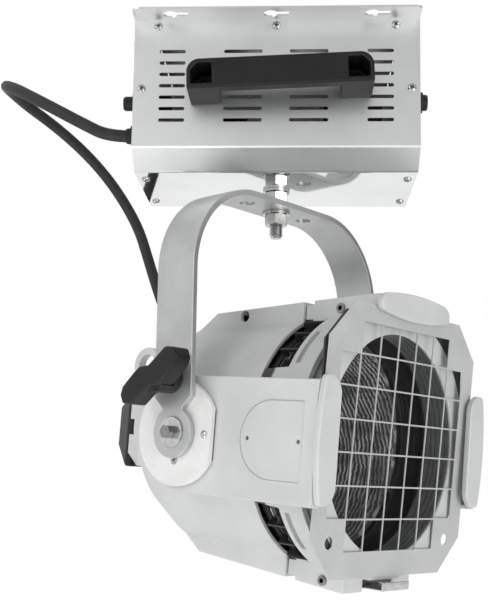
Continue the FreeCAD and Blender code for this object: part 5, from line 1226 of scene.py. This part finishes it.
@dataclass
class Hanger(Assembly):
    """Hanging bolt with its nuts and washers, and the yoke.

    Attributes:
        flats_mm: half across the flats of the nuts.
        bolt_mm: radius of the bolt.
        bore_mm: radius of the dimple under its head.
        head_mm: height of its head where the shank runs up through it.
        pitch_mm: pitch of its thread.
        turned: how far the nuts are turned, degrees.
    """

    flats_mm: float = 9.5
    bolt_mm: float = 6.0
    bore_mm: float = 0.7
    head_mm: float = 7.5
    pitch_mm: float = 1.75
    turned: float = 27.0
    kept: Kept = field(default_factory=lambda: {"lock_stud": ZINC})
    fittings: Fittings = (
        Eased("yoke", YOKE_ZINC, 0.6), Eased("bolt_washers", ZINC, 0.3))

    def nut(self, whole: BMesh, low: float, high: float, bore_mm: float) -> None:
        """Adds a nut, or the bolt's head, from one height to another.

        Args:
            whole: the mesh that grows.
            low: height of its lower face.
            high: height of its upper face.
            bore_mm: bore radius.
        """
        nut = hex_nut(self.flats_mm, (high - low) / MM, bore_mm)
        join(whole, nut, Matrix.Translation((0, 0, low))
             @ Matrix.Rotation(math.radians(self.turned), 4, "Z"))
        nut.free()

    def nuts(self) -> None:
        """Builds the two nuts where the CAD nuts lie."""
        whole = bmesh.new()
        for points in islands("bolt_nuts"):
            self.nut(whole, min(p.z for p in points), max(p.z for p in points), self.bolt_mm)
        piece_from(whole, "chamfered_nuts", ZINC, "bolt_nuts")

    def bolt(self) -> None:
        """Builds the threaded bolt from its head inside the box down to its end."""
        points = islands("hanging_bolt")[0]
        high = max(p.z for p in points)
        low = min(p.z for p in points)
        top = max(p.z for p in points if math.hypot(p.x, p.y) < 1.05 * self.bolt_mm * MM)
        if top >= high - 0.1 * MM:
            top = high - self.head_mm * MM
        whole = thread(self.bolt_mm, self.pitch_mm, (top - low) / MM)
        bmesh.ops.translate(whole, vec=(0, 0, top), verts=whole.verts)
        self.nut(whole, top, high, self.bore_mm)
        piece_from(whole, "threaded_bolt", ZINC, "hanging_bolt")

    def build(self) -> None:
        """Eases the yoke and builds the hanging hardware."""
        super().build()
        self.nuts()
        self.bolt()


@dataclass
class LockKnob(Assembly):
    """Wing knob that brakes the tilt."""

    fittings: Fittings = (Eased("lock_knob", DARK_GREY, 1.6, segments=4),)


@dataclass
class Optics(Assembly):
    """Fluted reflector and grooved lens ring, about the beam, with the lens and the lamp.

    Attributes:
        seat_mm: front of the reflector's rim.
        rim_mm: radius of the reflector at its rim.
        flange_mm: radius of its flange.
        throat_mm: radius of the reflector at its rear.
        deep_mm: depth of the reflector.
        wall_mm: thickness of its sheet.
        rows: rows of faces from throat to rim.
        crowding: how much closer the rows lie at the throat.
        flutes: ridges around the reflector.
        flute_mm: height of a ridge at the rim.
        ring_rear_mm: rear of the lens ring.
        ring_front_mm: front of the lens ring.
        ring_inner_mm: inner radius of the lens ring.
        ring_outer_mm: outer radius of the lens ring.
        groove_mm: spacing of the grooves in its bore.
        groove: depth in the bore and fall of each corner of a groove.
        lens_mm: radius and thickness of the lens.
    """

    seat_mm: float = 66.0
    rim_mm: float = 87.0
    flange_mm: float = 95.8
    throat_mm: float = 24.0
    deep_mm: float = 119.5
    wall_mm: float = 0.8
    rows: int = 26
    crowding: float = 1.6
    flutes: int = 90
    flute_mm: float = 0.55
    ring_rear_mm: float = 94.0
    ring_front_mm: float = 121.0
    ring_inner_mm: float = 88.0
    ring_outer_mm: float = 101.3
    groove_mm: float = 4.6
    groove: Tuple[Spot, ...] = ((0.0, 0.0), (1.3, 0.35), (1.3, 1.5), (0.0, 1.9))
    lens_mm: Spot = (92.0, 4.0)
    kept: Kept = field(default_factory=lambda: {
        "vent_baffle": SOOT, "lens": LENS_GLASS, "lamp": LAMP_GLASS, "lamp_base": CERAMIC,
        "lamp_holder": CERAMIC})

    def share(self, height: float) -> float:
        """Gives how far up the bowl a height along the beam lies, from 0 at the throat to 1."""
        return 1 + (height / MM - self.seat_mm) / self.deep_mm

    def charted(self, bm: BMesh) -> None:
        """Lays a map over the bowl, the turn along its first axis and the share along its second.

        Args:
            bm: the bowl.
        """
        chart = bm.loops.layers.uv.new("flutes")
        for face in bm.faces:
            turns = [math.atan2(loop.vert.co.y, loop.vert.co.x) / math.tau for loop in face.loops]
            seam = max(turns) - min(turns) > 0.5
            for loop, turn in zip(face.loops, turns):
                loop[chart].uv = (turn + 1 if seam and turn < 0 else turn, self.share(loop.vert.co.z))

    def fluted(self, bm: BMesh) -> None:
        """Raises the flutes, which waver a little from row to row.

        Args:
            bm: the bowl.
        """
        around = self.flutes * 2
        for vert in bm.verts:
            reach = math.hypot(vert.co.x, vert.co.y)
            if reach > (self.rim_mm + 1) * MM:
                continue
            share = self.share(vert.co.z)
            row = share * self.rows
            turn = math.atan2(vert.co.y, vert.co.x)
            k = round(turn / math.tau * around)
            # Waves of unrelated lengths, so that no flute repeats the one beside it.
            waver = math.sin(row * 0.9 + k * 0.21) * 0.5 + 0.3 * math.sin(k * 1.7 + row * 0.4)
            turn += 0.6 * waver * math.tau / around
            swell = self.flute_mm * (0.25 + 0.75 * share) * (1 if k % 2 else -1)
            reach += swell * (0.7 + 0.3 * math.sin(k * 2.3 + row * 0.8)) * MM
            vert.co.x, vert.co.y = reach * math.cos(turn), reach * math.sin(turn)

    def reflector(self) -> None:
        """Builds the bowl with its flange."""
        shares = [(row / self.rows) ** self.crowding for row in range(self.rows + 1)]
        bm = lathe([(self.throat_mm + (self.rim_mm - self.throat_mm) * math.sqrt(share),
                     self.seat_mm - self.deep_mm * (1 - share)) for share in shares]
                   + [(self.flange_mm, self.seat_mm)], self.flutes * 2)
        self.charted(bm)
        self.fluted(bm)
        bowl = piece_from(bm, "fluted_reflector", REFLECTOR, "reflector", place=BEAM, flat=True)
        wall = bowl.modifiers.new("wall", "SOLIDIFY")
        wall.thickness = self.wall_mm * MM
        wall.offset = 1.0

    def ring(self) -> None:
        """Builds the lens ring with grooves turned into its bore."""
        seat = self.lens_mm[0] + 0.2
        bore = self.ring_inner_mm + 0.1
        step = self.ring_rear_mm + self.lens_mm[1] + 0.4
        profile = [(seat, self.ring_rear_mm), (self.ring_outer_mm, self.ring_rear_mm),
                   (self.ring_outer_mm, self.ring_front_mm),
                   (self.ring_inner_mm + 0.4, self.ring_front_mm)]
        level = self.ring_front_mm - 3.0
        while level > step + 3.5:
            profile += [(bore + deep, level - fall) for deep, fall in self.groove]
            level -= self.groove_mm
        profile += [(bore, step), (seat, step), (seat, self.ring_rear_mm)]
        piece_from(lathe(profile, 128), "grooved_lens_ring", RING_GREY, "lens_ring", place=BEAM)

    def build(self) -> None:
        """Dresses the rest of the optics and builds both."""
        super().build()
        self.reflector()
        self.ring()


@dataclass
class HoldingLips:
    """Rounded lips in front of the accessory slot.

    Attributes:
        rear_mm: their rear faces along the beam.
        front_mm: their front faces.
        corner_mm: rounding of their corners.
        edge_mm: easing of their rims.
        top: corners of the top lip, anticlockwise seen from the front, as bowed takes them.
        side: corners of the far side lip.
    """

    rear_mm: float = 133.0
    front_mm: float = 138.3
    corner_mm: float = 0.6
    edge_mm: float = 1.4
    top: Tuple[Tuple[float, float, float, int], ...] = (
        (-46.5, 102.4, 4.6, 14), (46.5, 102.4, 0.9, 3), (49.8, 106.2, 2.6, 6),
        (41, 116.5, 3.0, 12), (-41, 116.5, 2.6, 6), (-49.8, 106.2, 0.9, 3))
    side: Tuple[Tuple[float, float, float, int], ...] = (
        (113.2, -43.5, 4.4, 14), (113.2, 43.5, 0.9, 3), (109.5, 47.3, 0.1, 2),
        (103.5, 47.3, 1.8, 6), (93, 36, 0.0, 2), (93, -36, 1.8, 6),
        (103.5, -47.3, 0.1, 2), (109.5, -47.3, 0.9, 3))

    def plate(self, name: str, outline: Sequence[Spot], node: str) -> None:
        """Raises one lip from its outline, with rounded corners and eased rims.

        Args:
            name: name of the piece.
            outline: corners in millimetres, anticlockwise seen from the front.
            node: the CAD node that it stands for.
        """
        level = 1e-7
        bm = bmesh.new()
        face = bm.faces.new([bm.verts.new((x * MM, y * MM, self.rear_mm * MM)) for x, y in outline])
        bmesh.ops.bevel(bm, geom=list(face.verts), offset=self.corner_mm * MM,
                        offset_type="OFFSET", segments=2, profile=0.5, affect="VERTICES",
                        material=-1)
        lifted = bmesh.ops.extrude_face_region(bm, geom=list(bm.faces), use_keep_orig=True)
        bmesh.ops.translate(bm, vec=(0, 0, (self.front_mm - self.rear_mm) * MM),
                            verts=[g for g in lifted["geom"] if isinstance(g, bmesh.types.BMVert)])
        bmesh.ops.recalc_face_normals(bm, faces=bm.faces)
        rims = [edge for edge in bm.edges if folded(edge, math.radians(50))
                and abs(edge.verts[0].co.z - edge.verts[1].co.z) < level]
        bmesh.ops.bevel(bm, geom=rims, offset=self.edge_mm * MM, offset_type="OFFSET", segments=3,
                        profile=0.5, affect="EDGES", material=-1)
        piece_from(bm, name, POWDER, node, place=BEAM)

    def build(self) -> None:
        """Builds the top lip and the two side lips."""
        side = bowed(self.side)
        self.plate("top_lip_rounded", bowed(self.top), "top_lip")
        self.plate("side_lip_far_rounded", side, "side_lip_far")
        self.plate("side_lip_near_rounded", [(-x, y) for x, y in reversed(side)], "side_lip_near")


@dataclass
class SlotShadeFlange:
    """Thin dark flange behind the guard, put where there is only shade: it paints the shade in the
    corners of the slot.

    Attributes:
        half_mm: half its width.
        cut_mm: its cut corners.
        up_mm: its centre above the beam.
        bore_mm: radius of its bore, round the front frame.
        rear_mm: rear face along the beam.
        front_mm: front face along the beam.
        steps: straight runs along the bore of a corner.
        corners: which corners it closes, across and up; the last is open behind the guard's hole.
    """

    half_mm: float = 98.0
    cut_mm: float = 25.0
    up_mm: float = 1.7
    bore_mm: float = 106.0
    rear_mm: float = 121.6
    front_mm: float = 123.2
    steps: int = 12
    corners: Tuple[Tuple[int, int], ...] = ((1, 1), (-1, 1), (-1, -1))

    def corner(self, bm: BMesh, across: int, upward: int) -> None:
        """Adds the piece of flange at one corner, between the cut and the bore.

        Args:
            bm: the mesh that grows.
            across: 1 for the far side, -1 for the near one.
            upward: 1 for the top, -1 for the bottom.
        """
        side = across * self.half_mm
        top = self.up_mm + upward * self.half_mm
        outline = [(side, self.up_mm + upward * (self.half_mm - self.cut_mm)),
                   (side - across * self.cut_mm, top)]
        first = math.acos(min(1.0, abs(top) / self.bore_mm))
        last = math.acos(min(1.0, self.half_mm / self.bore_mm))
        for index in range(self.steps + 1):
            turn = first + (math.pi / 2 - last - first) * index / self.steps
            outline.append((across * self.bore_mm * math.sin(turn),
                            upward * self.bore_mm * math.cos(turn)))
        if across * upward < 0:
            outline.reverse()
        face = bm.faces.new([bm.verts.new((x * MM, y * MM, self.rear_mm * MM)) for x, y in outline])
        raised = bmesh.ops.extrude_face_region(bm, geom=[face])
        bmesh.ops.translate(bm, vec=(0, 0, (self.front_mm - self.rear_mm) * MM),
                            verts=[g for g in raised["geom"] if isinstance(g, bmesh.types.BMVert)])

    def build(self) -> None:
        """Builds the corners as one piece."""
        bm = bmesh.new()
        for across, upward in self.corners:
            self.corner(bm, across, upward)
        bmesh.ops.recalc_face_normals(bm, faces=bm.faces)
        # Its dark grey is painted shade in the gap between the front frame and the guard.
        piece_from(bm, "slot_shade_flange", SHADE, "front_frame", place=BEAM, extra=True)


@dataclass
class RearCap:
    """Deep moulded cap behind the lamp housing, its four sides sloping in to the rear.

    Attributes:
        half_mm: half its width at the rim.
        low_mm: lower edge of the rim from the beam.
        high_mm: upper edge of the rim from the beam.
        front_mm: rim along the beam.
        rear_mm: rear face along the beam.
        skirt_mm: straight part behind the rim.
        slope_mm: how far the side, upper and lower edges slope in.
        edge_mm: easing of its edges.
    """

    half_mm: float = 33.0
    low_mm: float = -38.0
    high_mm: float = 28.0
    front_mm: float = -143.0
    rear_mm: float = -174.0
    skirt_mm: float = 7.0
    slope_mm: Point = (12.0, 11.0, 19.0)
    edge_mm: float = 1.6

    def build(self) -> None:
        """Builds the cap from its rim, drawn out to the rear and eased."""
        bm = bmesh.new()
        bmesh.ops.create_cube(bm, size=1.0)
        middle = (self.low_mm + self.high_mm) / 2
        tall = self.high_mm - self.low_mm
        for vert in bm.verts:
            vert.co.x *= 2 * self.half_mm * MM
            vert.co.y = (middle + vert.co.y * tall) * MM
            vert.co.z = (self.front_mm if vert.co.z > 0 else self.front_mm - self.skirt_mm) * MM
        rear = [face for face in bm.faces if face.normal.z < -0.9]
        drawn = bmesh.ops.extrude_face_region(bm, geom=rear)
        bmesh.ops.delete(bm, geom=rear, context="FACES_ONLY")
        side, upper, lower = self.slope_mm
        for vert in (g for g in drawn["geom"] if isinstance(g, bmesh.types.BMVert)):
            vert.co.x -= math.copysign(side * MM, vert.co.x)
            vert.co.y -= upper * MM if vert.co.y > middle * MM else -lower * MM
            vert.co.z = self.rear_mm * MM
        bmesh.ops.recalc_face_normals(bm, faces=bm.faces)
        bmesh.ops.bevel(bm, geom=bm.edges[:], offset=self.edge_mm * MM, offset_type="OFFSET",
                        segments=3, profile=0.5, affect="EDGES", material=-1)
        piece_from(bm, "deep_rear_cap", DARK_GREY, "rear_cap", place=BEAM)


@dataclass
class Head(Assembly):
    """Castings, pivots, guard and rear of the head."""

    kept: Kept = field(default_factory=lambda: {
        "disc_gasket_near": FIBRE, "disc_gasket_far": FIBRE, "pivot_nuts": DULL_ZINC,
        "clip_pin": ZINC})
    fittings: Fittings = (
        Eased("head_shell", POWDER, 0.9, shortest_mm=1.9),
        Eased("front_frame", VENTED, 0.7),
        Eased("rear_housing", POWDER, 0.9),
        Eased("guard_plate", PAINTED, 0.2),
        Eased("retaining_clip", SPRING, 0.25),
        Eased("friction_disc_near", DISC, 0.4),
        Eased("friction_disc_far", DISC, 0.4),
        Screws("disc_screws", NICKEL, 3.8, 0.0, 2.0, 2.3, place=BEAM),
        Screws("frame_screws", DULL_ZINC, 4.0, 1.8, 2.0, 1.9, Drive.SOCKET, BEAM),
        Eased("disc_rivets", ZINC, 0.4),
        Eased("pivot_bolts", DULL_ZINC, 0.4),
        Eased("pivot_washers", ZINC, 0.3),
        Eased("head_cable_gland", BLACK, 0.4))


def main() -> None:
    """Builds the studio and every sub-assembly in order."""
    logging.basicConfig(level=logging.INFO, format="%(name)s %(message)s")
    for part in (Studio(), LampCable(), BallastBox(), Hanger(), LockKnob(), Optics(),
                 HoldingLips(), SlotShadeFlange(), RearCap(), Head()):
        part.build()
        log.info("%s done", type(part).__name__)


if __name__ == "__main__":
    main()
